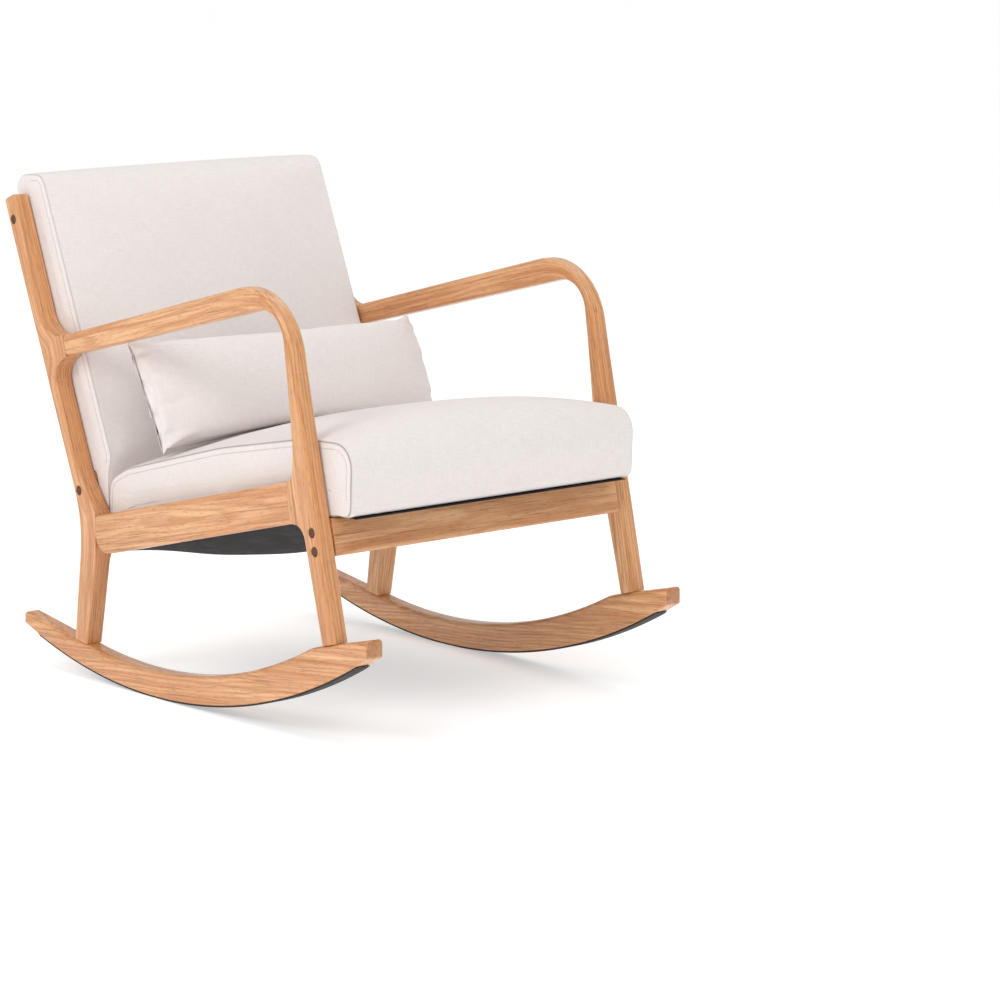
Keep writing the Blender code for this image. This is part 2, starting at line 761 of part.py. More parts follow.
def main():
    clear_scene()
    parts = new_collection("rocking_armchair")
    cutters = new_collection("cutters")
    front_rail, rear_rail = cross_rails(parts, cutters)
    stiles = seat_frame(parts)
    webbing(parts)
    seat_cushion(parts)
    dust_cover(parts)
    back = back_board(parts)
    back_panel(parts)
    back_cushion(parts)
    pillow(parts)
    holders = {"leg_upper": front_rail, "leg_lower": front_rail, "seat": rear_rail, "back": back}
    for name, side in SIDES.items():
        rail = side_frame(name, side, parts, cutters)
        bolts(name, side, holders, parts, cutters)
        seat_screws(name, side, stiles[name], rail, parts, cutters)
    back_screws(back, rear_rail, parts, cutters)


main()
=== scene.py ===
"""Looks of a rocking armchair with board side frames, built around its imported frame.

Every new piece is a surface worked out with numpy: a rounded section carried between the two edges
of a board, or rings of a profile for the padded pieces. A side-view point is (f, h): f metres
forward of the line where the runners touch the floor, h metres above the floor. The chair faces -Y.
"""

import json
import math

import bmesh
import bpy
import numpy as np
from bpy.props import FloatProperty, FloatVectorProperty, PointerProperty
from bpy.types import Operator, Panel, PropertyGroup
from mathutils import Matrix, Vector


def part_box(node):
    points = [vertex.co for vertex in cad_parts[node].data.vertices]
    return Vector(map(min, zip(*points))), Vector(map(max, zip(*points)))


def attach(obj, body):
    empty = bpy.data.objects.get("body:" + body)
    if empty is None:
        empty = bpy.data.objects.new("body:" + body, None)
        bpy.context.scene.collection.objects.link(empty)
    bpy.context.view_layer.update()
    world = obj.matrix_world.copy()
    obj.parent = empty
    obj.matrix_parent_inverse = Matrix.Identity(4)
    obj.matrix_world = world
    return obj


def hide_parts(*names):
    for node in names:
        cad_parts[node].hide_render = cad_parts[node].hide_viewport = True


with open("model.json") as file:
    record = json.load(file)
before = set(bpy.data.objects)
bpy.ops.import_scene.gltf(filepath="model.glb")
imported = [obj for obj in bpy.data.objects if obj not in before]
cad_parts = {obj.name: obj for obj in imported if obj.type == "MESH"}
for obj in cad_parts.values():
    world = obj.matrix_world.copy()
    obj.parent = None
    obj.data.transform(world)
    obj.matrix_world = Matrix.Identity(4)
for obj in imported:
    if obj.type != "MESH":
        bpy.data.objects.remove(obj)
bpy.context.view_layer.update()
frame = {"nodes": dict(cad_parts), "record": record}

bl_info = {
    "name": "Rocking Armchair",
    "version": (1, 0, 0),
    "blender": (4, 5, 0),
    "location": "View3D > Sidebar > Armchair",
    "description": "Builds the finished looks of a rocking armchair around its frame",
    "category": "Add Mesh",
}

BODY = "chair"
SIDES = {"right": -1, "left": 1}

# Places read from the frame
CONTACT_Y = frame["record"]["mounts"][0]["pos_m"][1]
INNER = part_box("rocker_left")[0].x
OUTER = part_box("rocker_left")[1].x
BOARD_MIDDLE = (INNER + OUTER) / 2
BOARD_HALF = (OUTER - INNER) / 2

# Side-frame lines, in metres; they match the boards of the frame
POST_KNEE = (-0.1815, 0.246)
POST_LEAN = 0.4006
POST_DEPTH = 0.024
POST_TOP_H = 0.729
LEG_FRONT = (0.352, 0.525)
LEG_RAKE = 0.2254
LEG_FOOT_H = 0.151
LEG_FOOT_DEPTH = 0.029
SEAT_SLOPE = 0.2375
RAIL_BOTTOM_H = 0.2325
FOOT_SLOPE = 0.244
FOOT_START = (0.385, 0.1395)
RUNNER_FRONT = 0.512
RUNNER_REAR = -0.345
RUNNER_RADIUS = 1.0
RUNNER_TOP = (-0.025, 0.0413, 0.90)   # f and h of the top's lowest point, and its radius
TAIL_START = -0.160
TAIL_SLOPE = 0.159
STRIP_THICKNESS = 0.0023
ARM_JOINT = ((-0.2235, 0.5310), (-0.2155, 0.4990))
LEG_JOINT = ((0.3510, 0.5300), (0.3305, 0.5255))
REAR_RAIL_JOINT = ((-0.1445, 0.2600), (-0.1455, 0.1975))
FRONT_RAIL_JOINT = ((0.3310, 0.3735), (0.3365, 0.3125))

FINE_STEP = 0.001            # step at which a line is searched for its nearest point
SHARP_ANGLE = math.radians(38)
SIM_FRAMES = 20


def linear(*channels):
    """A screen colour, 0 to 255 a channel, as the linear values that shaders use."""
    shares = [channel / 255 for channel in channels]
    return tuple(c / 12.92 if c <= 10 / 255 else ((c + 0.055) / 1.055) ** 2.4 for c in shares)


# ---------------------------------------------------------------- settings a user may change

class ArmchairSizes(PropertyGroup):
    """Sizes of the finish that can change without touching the frame."""
    long_edge: FloatProperty(
        name="Long edge radius", description="Rounding along the edges of the side boards",
        default=0.0065, min=0.001, max=0.012, unit="LENGTH")
    rail_edge: FloatProperty(
        name="Rail edge radius", description="Rounding along the edges of the rails",
        default=0.004, min=0.001, max=0.01, unit="LENGTH")
    seat_crown: FloatProperty(
        name="Seat crown", description="Rise of the seat above its side seams",
        default=0.034, min=0.0, max=0.05, unit="LENGTH")
    back_crown: FloatProperty(
        name="Back crown", description="Bulge of the back pad in front of its side seams",
        default=0.017, min=0.0, max=0.04, unit="LENGTH")
    stitch_pitch: FloatProperty(
        name="Stitch pitch", description="Distance from one stitch to the next",
        default=0.0036, min=0.002, max=0.008, unit="LENGTH")
    thread_pitch: FloatProperty(
        name="Thread pitch", description="Distance between threads of the cloth",
        default=0.0011, min=0.0005, max=0.004, unit="LENGTH")


class ArmchairColours(PropertyGroup):
    """Colours of the finish."""
    wood_light: FloatVectorProperty(
        name="Light wood", description="Early wood of the boards", subtype="COLOR",
        default=linear(236, 181, 128), min=0.0, max=1.0)
    wood_dark: FloatVectorProperty(
        name="Dark wood", description="Late wood and broad streaks", subtype="COLOR",
        default=linear(193, 123, 65), min=0.0, max=1.0)
    wood_pore: FloatVectorProperty(
        name="Pores", description="Short pores and dark streaks", subtype="COLOR",
        default=linear(134, 76, 36), min=0.0, max=1.0)
    linen: FloatVectorProperty(
        name="Linen", description="Upholstery cloth", subtype="COLOR",
        default=linear(236, 229, 226), min=0.0, max=1.0)
    stitch: FloatVectorProperty(
        name="Thread", description="Sewing thread", subtype="COLOR",
        default=linear(186, 172, 163), min=0.0, max=1.0)
    black_cloth: FloatVectorProperty(
        name="Dust cloth", description="Black cloth under the seat", subtype="COLOR",
        default=linear(25, 25, 26), min=0.0, max=1.0)
    rubber: FloatVectorProperty(
        name="Floor strip", description="Strip under the runners", subtype="COLOR",
        default=linear(24, 24, 26), min=0.0, max=1.0)
    cap: FloatVectorProperty(
        name="Bolt caps", description="Caps over the bolts", subtype="COLOR",
        default=linear(104, 62, 42), min=0.0, max=1.0)


def sizes():
    """The sizes in use."""
    return bpy.context.scene.armchair_sizes


def colours():
    """The colours in use."""
    return bpy.context.scene.armchair_colours


# ---------------------------------------------------------------- lines in side view

def to_world(x, points):
    """World points from side-view points (..., 2) and their x."""
    points = np.asarray(points, float)
    x = np.broadcast_to(x, points.shape[:-1])
    return np.stack([x, CONTACT_Y - points[..., 0], points[..., 1]], axis=-1)


def post_line(h):
    """f of the post's rear edge: straight, leaning back by a fixed share of the height."""
    return POST_KNEE[0] - POST_LEAN * (h - POST_KNEE[1])


def leg_line(h):
    """f of the leg's front edge: straight, with a fixed rake."""
    return LEG_FRONT[0] - LEG_RAKE * (h - LEG_FRONT[1])


def rail_line(f):
    """Height of the side rail's lower edge, which rises evenly to the front."""
    return RAIL_BOTTOM_H + SEAT_SLOPE * f


def foot_line(f):
    """Height of the straight top of a runner's front end."""
    return FOOT_START[1] + FOOT_SLOPE * (f - FOOT_START[0])


def runner_arc(f):
    """Height of a runner's top: a circle's lower arc about its lowest point."""
    middle, low, radius = RUNNER_TOP
    return low + radius - np.sqrt(radius ** 2 - (f - middle) ** 2)


def floor_arc(f, lift=0.0):
    """Height of the arc that rolls on the floor, raised by lift."""
    return lift + RUNNER_RADIUS - np.sqrt(RUNNER_RADIUS ** 2 - np.square(f))


def runner_tail(f):
    """Height of a runner's top behind its arc: the straight line that the arc's end goes on in."""
    return runner_arc(TAIL_START) + TAIL_SLOPE * (TAIL_START - f)


def unit(vector):
    """The vector divided by its length."""
    return vector / np.linalg.norm(vector)


def walked(points):
    """Distance walked along a line at each of its points."""
    steps = np.linalg.norm(np.diff(points, axis=0), axis=1)
    return np.concatenate([[0.0], np.cumsum(steps)])


def at_lengths(points, lengths):
    """Points of a line at the given walked distances."""
    s = walked(points)
    return np.stack([np.interp(lengths, s, points[:, k]) for k in range(points.shape[1])], axis=-1)


def evenly(points, step):
    """A line with points about step apart."""
    total = walked(points)[-1]
    return at_lengths(points, np.linspace(0, total, max(2, math.ceil(total / step)) + 1))


def curve_line(corners):
    """A line through corners (f, h, radius): straight runs joined by arcs that touch both of them."""
    pieces = [np.array([corners[0][:2]], float)]
    for before, corner, after in zip(corners, corners[1:], corners[2:]):
        point = np.array(corner[:2])
        if corner[2] == 0:
            pieces.append(point[None])
            continue
        back, ahead = unit(np.array(before[:2]) - point), unit(np.array(after[:2]) - point)
        half = math.acos(np.clip(back @ ahead, -1, 1)) / 2
        centre = point + unit(back + ahead) * corner[2] / math.sin(half)
        start = point + back * corner[2] / math.tan(half) - centre
        end = point + ahead * corner[2] / math.tan(half) - centre
        turn = math.atan2(start[0] * end[1] - start[1] * end[0], start @ end)
        angle = np.linspace(0, turn, max(4, math.ceil(abs(turn) / math.radians(4))))[:, None]
        square = np.array([-start[1], start[0]])
        pieces.append(centre + np.cos(angle) * start + np.sin(angle) * square)
    pieces.append(np.array([corners[-1][:2]], float))
    return np.concatenate(pieces)


def nearest_length(points, target):
    """Walked distance of the point of a line that is nearest to target."""
    return walked(points)[np.argmin(np.linalg.norm(points - np.asarray(target), axis=1))]


# ---------------------------------------------------------------- meshes

def read_points(mesh):
    """Places of the mesh's vertices as an array (n, 3)."""
    flat = np.empty(len(mesh.vertices) * 3, np.float32)
    mesh.vertices.foreach_get("co", flat)
    return flat.reshape(-1, 3).astype(float)


def write_points(mesh, points):
    """Moves the mesh's vertices to new places."""
    mesh.vertices.foreach_set("co", np.asarray(points, np.float32).ravel())
    mesh.update()


def read_normals(mesh):
    """Normals of the mesh's vertices as an array (n, 3)."""
    flat = np.empty(len(mesh.vertices) * 3, np.float32)
    mesh.vertex_normals.foreach_get("vector", flat)
    return flat.reshape(-1, 3).astype(float)


def give_vectors(mesh, name, values):
    """Stores one vector for each vertex as a named attribute."""
    layer = mesh.attributes.new(name, "FLOAT_VECTOR", "POINT")
    layer.data.foreach_set("vector", np.asarray(values, np.float32).ravel())


def give_values(mesh, name, values):
    """Stores one number for each vertex as a named attribute."""
    layer = mesh.attributes.new(name, "FLOAT", "POINT")
    layer.data.foreach_set("value", np.asarray(values, np.float32).ravel())


def grid_faces(rows, columns, wrap):
    """Quads of a grid whose point (i, j) has the number i * columns + j; wrap joins its last column
    to the first."""
    i, j = np.meshgrid(np.arange(rows - 1), np.arange(columns if wrap else columns - 1), indexing="ij")
    after = (j + 1) % columns
    row, following = i * columns, (i + 1) * columns
    return np.stack([row + j, row + after, following + after, following + j], -1).reshape(-1, 4)


def facing_out(points, faces):
    """Turns the faces round if they enclose a negative volume: the sum of the wedges under them."""
    quads = np.array([f for f in faces if len(f) == 4])
    a, b, c, d = (points[quads[:, k]] for k in range(4))
    volume = np.einsum("ij,ij->", a, np.cross(b, c)) + np.einsum("ij,ij->", a, np.cross(c, d))
    return faces if volume > 0 else [f[::-1] for f in faces]


def closed_mesh(name, rings):
    """Mesh of rings (rows, columns, 3): each ring joined to the next, and the two ends closed by fans."""
    rows, columns = rings.shape[:2]
    middles = rings[[0, -1]].mean(axis=1)
    points = np.concatenate([rings.reshape(-1, 3), middles])
    first, last = rows * columns, rows * columns + 1
    j = np.arange(columns)
    after = (j + 1) % columns
    start = np.stack([np.full(columns, first), after, j], -1)
    end = np.stack([np.full(columns, last), (rows - 1) * columns + j, (rows - 1) * columns + after], -1)
    faces = grid_faces(rows, columns, True).tolist() + start.tolist() + end.tolist()
    mesh = bpy.data.meshes.new(name)
    mesh.from_pydata(points.tolist(), [], facing_out(points, faces))
    mesh.shade_smooth()
    return mesh


def shown(name, mesh, material, slot, *stands_for):
    """Makes the piece with its material, and hides the named nodes of the frame that it stands for."""
    piece = bpy.data.objects.new(name, mesh)
    bpy.context.scene.collection.objects.link(piece)
    mesh.materials.clear()
    mesh.materials.append(material)
    if stands_for:
        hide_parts(*stands_for)
    return piece


def bake_modifiers(piece):
    """Gives the piece the mesh that its modifiers make, and removes them."""
    evaluated = piece.evaluated_get(bpy.context.evaluated_depsgraph_get())
    mesh = bpy.data.meshes.new_from_object(evaluated)
    piece.modifiers.clear()
    piece.data = mesh
    return mesh


# ---------------------------------------------------------------- rounded sections

CORNER_STEPS = 7
FLAT_SHARES = np.array([0.04, 0.5, 0.96])
LEAST_RADIUS = 0.0002
FLUSH_RADIUS = 0.0005
FLUSH_BLEND = 0.012          # length over which an edge's rounding fades


def section_rings(middles, axis_p, axis_q, half_p, half_q, radius_low, radius_high, inset):
    """Rounded rectangles, one for each station. With p and q measured along the two axes from the
    middle, a corner's point is its rounding's centre plus the radius times (cos, sin) of an angle,
    and three more points lie along each flat. radius_low rounds the corners at -q, radius_high
    those at +q, and inset draws the whole section in, as at a rounded end."""
    half_p, half_q = half_p - inset, half_q - inset
    angle = np.linspace(0, math.pi / 2, CORNER_STEPS)
    columns_p, columns_q = [], []
    for quarter, (sign_p, sign_q) in enumerate(((1, 1), (-1, 1), (-1, -1), (1, -1))):
        radius = np.maximum((radius_high if sign_q > 0 else radius_low) - inset, LEAST_RADIUS)[:, None]
        turn = angle + quarter * math.pi / 2
        columns_p.append(sign_p * (half_p[:, None] - radius) + radius * np.cos(turn))
        columns_q.append(sign_q * (half_q[:, None] - radius) + radius * np.sin(turn))
    all_p, all_q = [], []
    for k in range(4):
        following = (k + 1) % 4
        for columns, gathered in ((columns_p, all_p), (columns_q, all_q)):
            start, end = columns[k][:, -1:], columns[following][:, :1]
            gathered.append(columns[k])
            gathered.append(start + (end - start) * FLAT_SHARES)
    p, q = np.concatenate(all_p, axis=1)[..., None], np.concatenate(all_q, axis=1)[..., None]
    return middles[:, None] + p * axis_p[:, None] + q * axis_q[:, None]


def end_inset(from_end, radius):
    """How far a rounded end draws the section in: radius less the height of a quarter circle."""
    gap = np.clip(radius - from_end, 0, radius)
    return radius - np.sqrt(np.maximum(radius ** 2 - gap ** 2, 0))


def stations(total, step, start_radius, end_radius):
    """Walked distances along a board, close together on its rounded ends."""
    angle = np.linspace(0, math.pi / 2, 6)
    start = start_radius * (1 - np.cos(angle))
    end = total - end_radius * (1 - np.cos(angle))[::-1]
    inner = np.linspace(start_radius, total - end_radius, math.ceil(total / step))
    return np.unique(np.concatenate([start, inner, end]).round(7))


def matched(low, high, joints, lengths_at):
    """Matching points of two edges. Both are walked in equal shares between the joints, each given by
    a point on or near them, and lengths_at says where along the mean of the two."""
    low, high = evenly(low, FINE_STEP), evenly(high, FINE_STEP)
    keys_low = np.array([0.0] + [nearest_length(low, p) for p in joints] + [walked(low)[-1]])
    keys_high = np.array([0.0] + [nearest_length(high, p) for p in joints] + [walked(high)[-1]])
    keys = (keys_low + keys_high) / 2
    s = lengths_at(keys[-1])
    edges = [at_lengths(line, np.interp(s, keys, own)) for line, own in ((low, keys_low), (high, keys_high))]
    return *edges, s


def flush_radius(s, radius, spans):
    """An edge's rounding along a board: radius, fading to almost nothing inside the spans where
    another board lies flush against that edge."""
    away = np.full_like(s, 1.0)
    for start, end in spans:
        distance = np.maximum(np.maximum(start - s, s - end), 0)
        away = np.minimum(away, np.clip(distance / FLUSH_BLEND, 0, 1))
    return FLUSH_RADIUS + (radius - FLUSH_RADIUS) * (away * away * (3 - 2 * away))


def lay_grain(mesh, line, offset):
    """Stores each vertex's place in the plank: along the grain line, through the thickness and
    across. The line's nearest point gives the distance along, and its square the one across."""
    points = read_points(mesh)
    flat = np.stack([CONTACT_Y - points[:, 1], points[:, 2]], -1)
    line = evenly(line, 0.006)
    tangent = np.gradient(line, axis=0)
    tangent /= np.linalg.norm(tangent, axis=1)[:, None]
    nearest = np.argmin(((flat[:, None] - line[None]) ** 2).sum(-1), axis=1)
    gap = flat - line[nearest]
    along = walked(line)[nearest] + (gap * tangent[nearest]).sum(-1)
    across = gap[:, 0] * -tangent[nearest, 1] + gap[:, 1] * tangent[nearest, 0]
    through = np.abs(points[:, 0]) - BOARD_MIDDLE
    give_vectors(mesh, "grain", np.stack([along, through, across], -1) + offset)
    give_values(mesh, "end", smooth_step(flat[:, 0], RUNNER_FRONT - 0.0030, RUNNER_FRONT - 0.0006))


def side_board(
        name, low, high, joints, side, offset, radii, ends, spans_low=(), spans_high=(), straight=False):
    """One board of a side frame: a rounded section carried between its two edges in side view. Gives
    its mesh, the line that its grain follows, and where in the plank the line starts."""
    edge_low, edge_high, s = matched(low, high, joints, lambda total: stations(total, 0.006, *ends))
    total = s[-1]
    inset = np.maximum(end_inset(s, ends[0]), end_inset(total - s, ends[1]))
    half_q = np.linalg.norm(edge_high - edge_low, axis=1) / 2
    middles = to_world(side * BOARD_MIDDLE, (edge_low + edge_high) / 2)
    direction = (edge_high - edge_low) / (2 * half_q[:, None])
    axis_q = np.stack([np.zeros_like(s), -direction[:, 0], direction[:, 1]], -1)
    axis_p = np.broadcast_to([1.0, 0.0, 0.0], axis_q.shape)
    radius_low, radius_high = (
        flush_radius(walked(edge), radius, [
            [nearest_length(evenly(edge, FINE_STEP), p) for p in span] for span in spans])
        for edge, radius, spans in zip((edge_low, edge_high), radii, (spans_low, spans_high)))
    half_p = np.full_like(s, BOARD_HALF)
    rings = section_rings(middles, axis_p, axis_q, half_p, half_q, radius_low, radius_high, inset)
    mesh = closed_mesh(name, rings)
    centre_line = (edge_low + edge_high) / 2
    line = centre_line[[0, -1]] if straight else centre_line
    return mesh, line, np.asarray(offset, float)


# ---------------------------------------------------------------- boards of the side frame

ARM_KEYS = [(0.27, 0.64), (0.33, 0.60)]     # the two ends of the armrest's bend
CAP_RADIUS = 0.0070
RECESS_GAP = 0.0002
RECESS_DEPTH = 0.0050
RECESS_BEVEL = 0.0014


def armrest_edges():
    """Lower and upper edge of an armrest, from the post to the leg."""
    low = curve_line([(*ARM_JOINT[1], 0), (0.3165, 0.6260, 0.048), (*LEG_JOINT[1], 0)])
    high = curve_line([(*ARM_JOINT[0], 0), (0.3228, 0.6694, 0.108), (*LEG_JOINT[0], 0)])
    return low, high


def leg_foot():
    """Front and rear corner of a leg's foot, on the runner."""
    front = leg_line(LEG_FOOT_H)
    return [(f, foot_line(f)) for f in (front, front - LEG_FOOT_DEPTH)]


def leg_edges():
    """Rear and front edge of a front leg, from the armrest down."""
    front_foot, rear_foot = leg_foot()
    haunch = 0.3625
    low = curve_line([
        (*LEG_JOINT[1], 0), (0.3425, 0.4250, 0.150), (0.3405, 0.3757, 0.012), (*FRONT_RAIL_JOINT[0], 0),
        (*FRONT_RAIL_JOINT[1], 0), (haunch, rail_line(haunch) - 0.001, 0.024), (*rear_foot, 0),
    ])
    return low, curve_line([(*LEG_JOINT[0], 0), (*front_foot, 0)])


def post_edges():
    """Rear and front edge of a rear post, from the runner up."""
    back_foot, front_foot = -0.206, -0.174
    top = post_line(POST_TOP_H)
    low = curve_line([(back_foot, runner_tail(back_foot), 0), (*POST_KNEE, 0.20), (top, POST_TOP_H, 0)])
    high = curve_line([
        (front_foot, runner_tail(front_foot), 0), (*REAR_RAIL_JOINT[1], 0), (*REAR_RAIL_JOINT[0], 0),
        (post_line(0.315) + POST_DEPTH, 0.315, 0.08), (post_line(0.474) + POST_DEPTH, 0.474, 0.028),
        (*ARM_JOINT[1], 0), (*ARM_JOINT[0], 0), (post_line(0.520) + POST_DEPTH, 0.520, 0.045),
        (top + POST_DEPTH, POST_TOP_H + POST_LEAN * POST_DEPTH, 0),
    ])
    return low, high


def rail_edges():
    """Lower and upper edge of a side rail, from the post to the leg."""
    rear_low = REAR_RAIL_JOINT[1]
    low = curve_line([
        (rear_low[0] + 0.0002, rear_low[1] + 0.026, 0), (*rear_low, 0.024), (*FRONT_RAIL_JOINT[1], 0),
    ])
    return low, curve_line([(*REAR_RAIL_JOINT[0], 0), (*FRONT_RAIL_JOINT[0], 0)])


def runner_edges():
    """Lower and upper edge of a runner, from rear to front."""
    f = np.linspace(RUNNER_REAR, RUNNER_FRONT, 90)
    low = np.stack([f, floor_arc(f, STRIP_THICKNESS)], -1)
    middle = np.linspace(TAIL_START, FOOT_START[0] - 0.012, 60)
    top = np.stack([middle, runner_arc(middle)], -1)
    start = np.array([[RUNNER_REAR, runner_tail(RUNNER_REAR)]])
    foot = np.array([FOOT_START, (RUNNER_FRONT, foot_line(RUNNER_FRONT) - 0.001)])
    return low, np.concatenate([start, top, foot])


def node_middle(name):
    """Middle of a node's box."""
    low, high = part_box(name)
    return (low + high) / 2


def turned(name, profile, side, face, node, directions):
    """Closed mesh of a profile (radius, distance out from the face), turned about an axis along X
    through the middle of a node: each ring is (face + x, radius * cos, radius * sin) of the angle."""
    middle = node_middle(node)
    angle = np.linspace(0, 2 * math.pi, directions, endpoint=False)
    r, x = profile[:, :1], profile[:, 1:]
    return closed_mesh(name, np.stack([
        face + side * x * np.ones_like(angle), middle.y + r * np.cos(angle), middle.z + r * np.sin(angle)], -1))


def recess_cutter(cap, side):
    """Cutter for the recess of a bolt cap: a cylinder with a bevelled mouth."""
    radius, beyond = CAP_RADIUS + RECESS_GAP, 0.004
    mouth = radius + RECESS_BEVEL
    profile = np.array([
        (0.0001, -RECESS_DEPTH), (radius, -RECESS_DEPTH), (radius, -RECESS_BEVEL), (mouth, 0.0),
        (mouth + beyond * 0.6, beyond), (0.0001, beyond),
    ])
    cutter = bpy.data.objects.new("recess", turned("recess", profile, side, side * OUTER, cap, 32))
    bpy.context.scene.collection.objects.link(cutter)
    return cutter


def cut_recesses(piece, side, caps):
    """Cuts the recess of each bolt cap into the board's outer face."""
    cutters = [recess_cutter(cap, side) for cap in caps]
    for cutter in cutters:
        cut = piece.modifiers.new("Recess", "BOOLEAN")
        cut.operation = "DIFFERENCE"
        cut.solver = "EXACT"
        cut.object = cutter
    bake_modifiers(piece)
    for cutter in cutters:
        bpy.data.objects.remove(cutter)


def finish_board(piece, line, offset):
    """Lays the grain, and keeps only real corners sharp."""
    lay_grain(piece.data, line, offset)
    piece.data.shade_smooth()
    piece.data.set_sharp_from_angle(angle=SHARP_ANGLE)
    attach(piece, BODY)


class ARMCHAIR_OT_side_frames(Operator):
    """Builds both side frames: runners, posts, armrests, front legs and side rails."""
    bl_idname = "armchair.side_frames"
    bl_label = "Side frames"

    def execute(self, context):
        edge, rail_edge = sizes().long_edge, sizes().rail_edge
        wood = wood_material("honey_wood")
        arm_edges = matched(*armrest_edges(), ARM_KEYS, lambda total: np.linspace(0, total, 120))[:2]
        arm_length = walked(sum(arm_edges) / 2)[-1]
        post_joints = [REAR_RAIL_JOINT[1], REAR_RAIL_JOINT[0], ARM_JOINT[1], ARM_JOINT[0]]
        for number, (name, side) in enumerate(SIDES.items()):
            shift = np.array([11.3 * number, 0.004 * number, 0.006 * number])
            boards = {
                "rocker_": side_board(
                    "rocker_" + name, *runner_edges(), [FOOT_START, (TAIL_START, 0.045)], side,
                    shift, (0.0022, edge), (0.006, 0.0045), straight=True),
                "rear_post_": side_board(
                    "rear_post_" + name, *post_edges(), post_joints, side,
                    shift + (1.7, 0.006, -0.008), (rail_edge, rail_edge), (0.0009, 0.006),
                    spans_high=[REAR_RAIL_JOINT[::-1], ARM_JOINT[::-1]]),
                "armrest_": side_board(
                    "armrest_" + name, *armrest_edges(), ARM_KEYS, side,
                    shift + (3.1, 0.0, 0.004), (edge, edge * 1.25), (0.0020, 0.0004)),
                "front_leg_": side_board(
                    "front_leg_" + name, *leg_edges(), FRONT_RAIL_JOINT, side,
                    shift + (3.1 + arm_length, 0.0, 0.004), (edge, edge * 1.25), (0.0004, 0.0009),
                    spans_low=[FRONT_RAIL_JOINT], straight=True),
                "side_rail_": side_board(
                    "side_rail_" + name, *rail_edges(), [], side,
                    shift + (6.2, -0.02, 0.002), (rail_edge, rail_edge), (0.0016, 0.0009), straight=True),
            }
            caps = {"rear_post_": ("cap_seat_", "cap_back_"), "front_leg_": ("cap_leg_upper_", "cap_leg_lower_")}
            for key, (mesh, line, offset) in boards.items():
                piece = shown(key + "board_" + name, mesh, wood, "wood", key + name)
                if key in caps:
                    cut_recesses(piece, side, [cap + name for cap in caps[key]])
                finish_board(piece, line, offset)
        return {"FINISHED"}


class ARMCHAIR_OT_cross_rails(Operator):
    """Builds the front rail and the rear rail between the side frames."""
    bl_idname = "armchair.cross_rails"
    bl_label = "Cross rails"

    def execute(self, context):
        wood = wood_material("honey_wood")
        end_radius = 0.0008
        rails = {   # two directions in side view, half depth and height, set back, and start in the plank
            "front_rail": ((-LEG_RAKE, 1.0), (1.0, SEAT_SLOPE), 0.0120, 0.0275, 0.0, (8.1, 0.004, -0.006)),
            "rear_rail": ((-0.22, 1.0), (1.0, 0.0), 0.0085, 0.0392, 0.0025, (9.4, -0.003, 0.01)),
        }
        for name, (up, ahead, half_depth, half_height, set_back, offset) in rails.items():
            low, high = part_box(name)
            reach = high.x
            s = stations(2 * reach, 0.02, end_radius, end_radius)
            middle = (low + high) / 2
            middle.y += set_back
            middles = np.stack([s - reach, np.full_like(s, middle.y), np.full_like(s, middle.z)], -1)
            up, ahead = unit(np.array(up)), unit(np.array(ahead))
            axis_q = np.broadcast_to([0.0, -up[0], up[1]], middles.shape)
            axis_p = np.broadcast_to([0.0, -ahead[0], ahead[1]], middles.shape)
            inset = np.maximum(end_inset(s, end_radius), end_inset(2 * reach - s, end_radius))
            radius = np.full_like(s, sizes().rail_edge)
            rings = section_rings(
                middles, axis_p, axis_q, np.full_like(s, half_depth), np.full_like(s, half_height),
                radius, radius, inset)
            mesh = closed_mesh(name, rings)
            points = read_points(mesh)
            gap = points - np.array(middle)
            place = np.stack([points[:, 0], gap @ axis_p[0], gap @ axis_q[0]], -1)
            give_vectors(mesh, "grain", place + offset)
            mesh.set_sharp_from_angle(angle=SHARP_ANGLE)
            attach(shown(name + "_board", mesh, wood, "wood", name), BODY)
        return {"FINISHED"}


# ---------------------------------------------------------------- floor strips and bolt caps

STRIP_HALF_WIDTH = 0.0135
STRIP_REST = 0.030           # half the length of the strip's flat
CAP_SINK = 0.0017
CAP_DEPTH = 0.0030


class ARMCHAIR_OT_floor_strips(Operator):
    """Builds the strips under the runners: a flat section between the floor arc, cut off level where
    the chair rests, and the runner's underside."""
    bl_idname = "armchair.floor_strips"
    bl_label = "Floor strips"

    def execute(self, context):
        rubber = rubber_material()
        for name, side in SIDES.items():
            low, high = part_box("rocker_pad_" + name)
            rear, front = CONTACT_Y - high.y, CONTACT_Y - low.y - 0.008
            f = np.unique(np.concatenate([np.linspace(rear, front, 110), [-STRIP_REST, STRIP_REST]]))
            bottom = np.maximum(floor_arc(f) - floor_arc(STRIP_REST), 0.0)
            top = floor_arc(f, STRIP_THICKNESS) - 0.0002
            s = walked(np.stack([f, top], -1))
            ends = np.maximum(end_inset(s, 0.0012), end_inset(s[-1] - s, 0.0012))
            middles = to_world((low.x + high.x) / 2, np.stack([f, (bottom + top) / 2], -1))
            axis_q = np.broadcast_to([0.0, 0.0, 1.0], middles.shape)
            axis_p = np.broadcast_to([1.0, 0.0, 0.0], middles.shape)
            rings = section_rings(
                middles, axis_p, axis_q, np.full_like(f, STRIP_HALF_WIDTH), (top - bottom) / 2,
                np.full_like(f, 0.0009), np.full_like(f, 0.0003), ends)
            mesh = closed_mesh("floor_strip_" + name, rings)
            mesh.set_sharp_from_angle(angle=math.radians(50))
            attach(shown("floor_strip_" + name, mesh, rubber, "rubber", "rocker_pad_" + name), BODY)
        return {"FINISHED"}


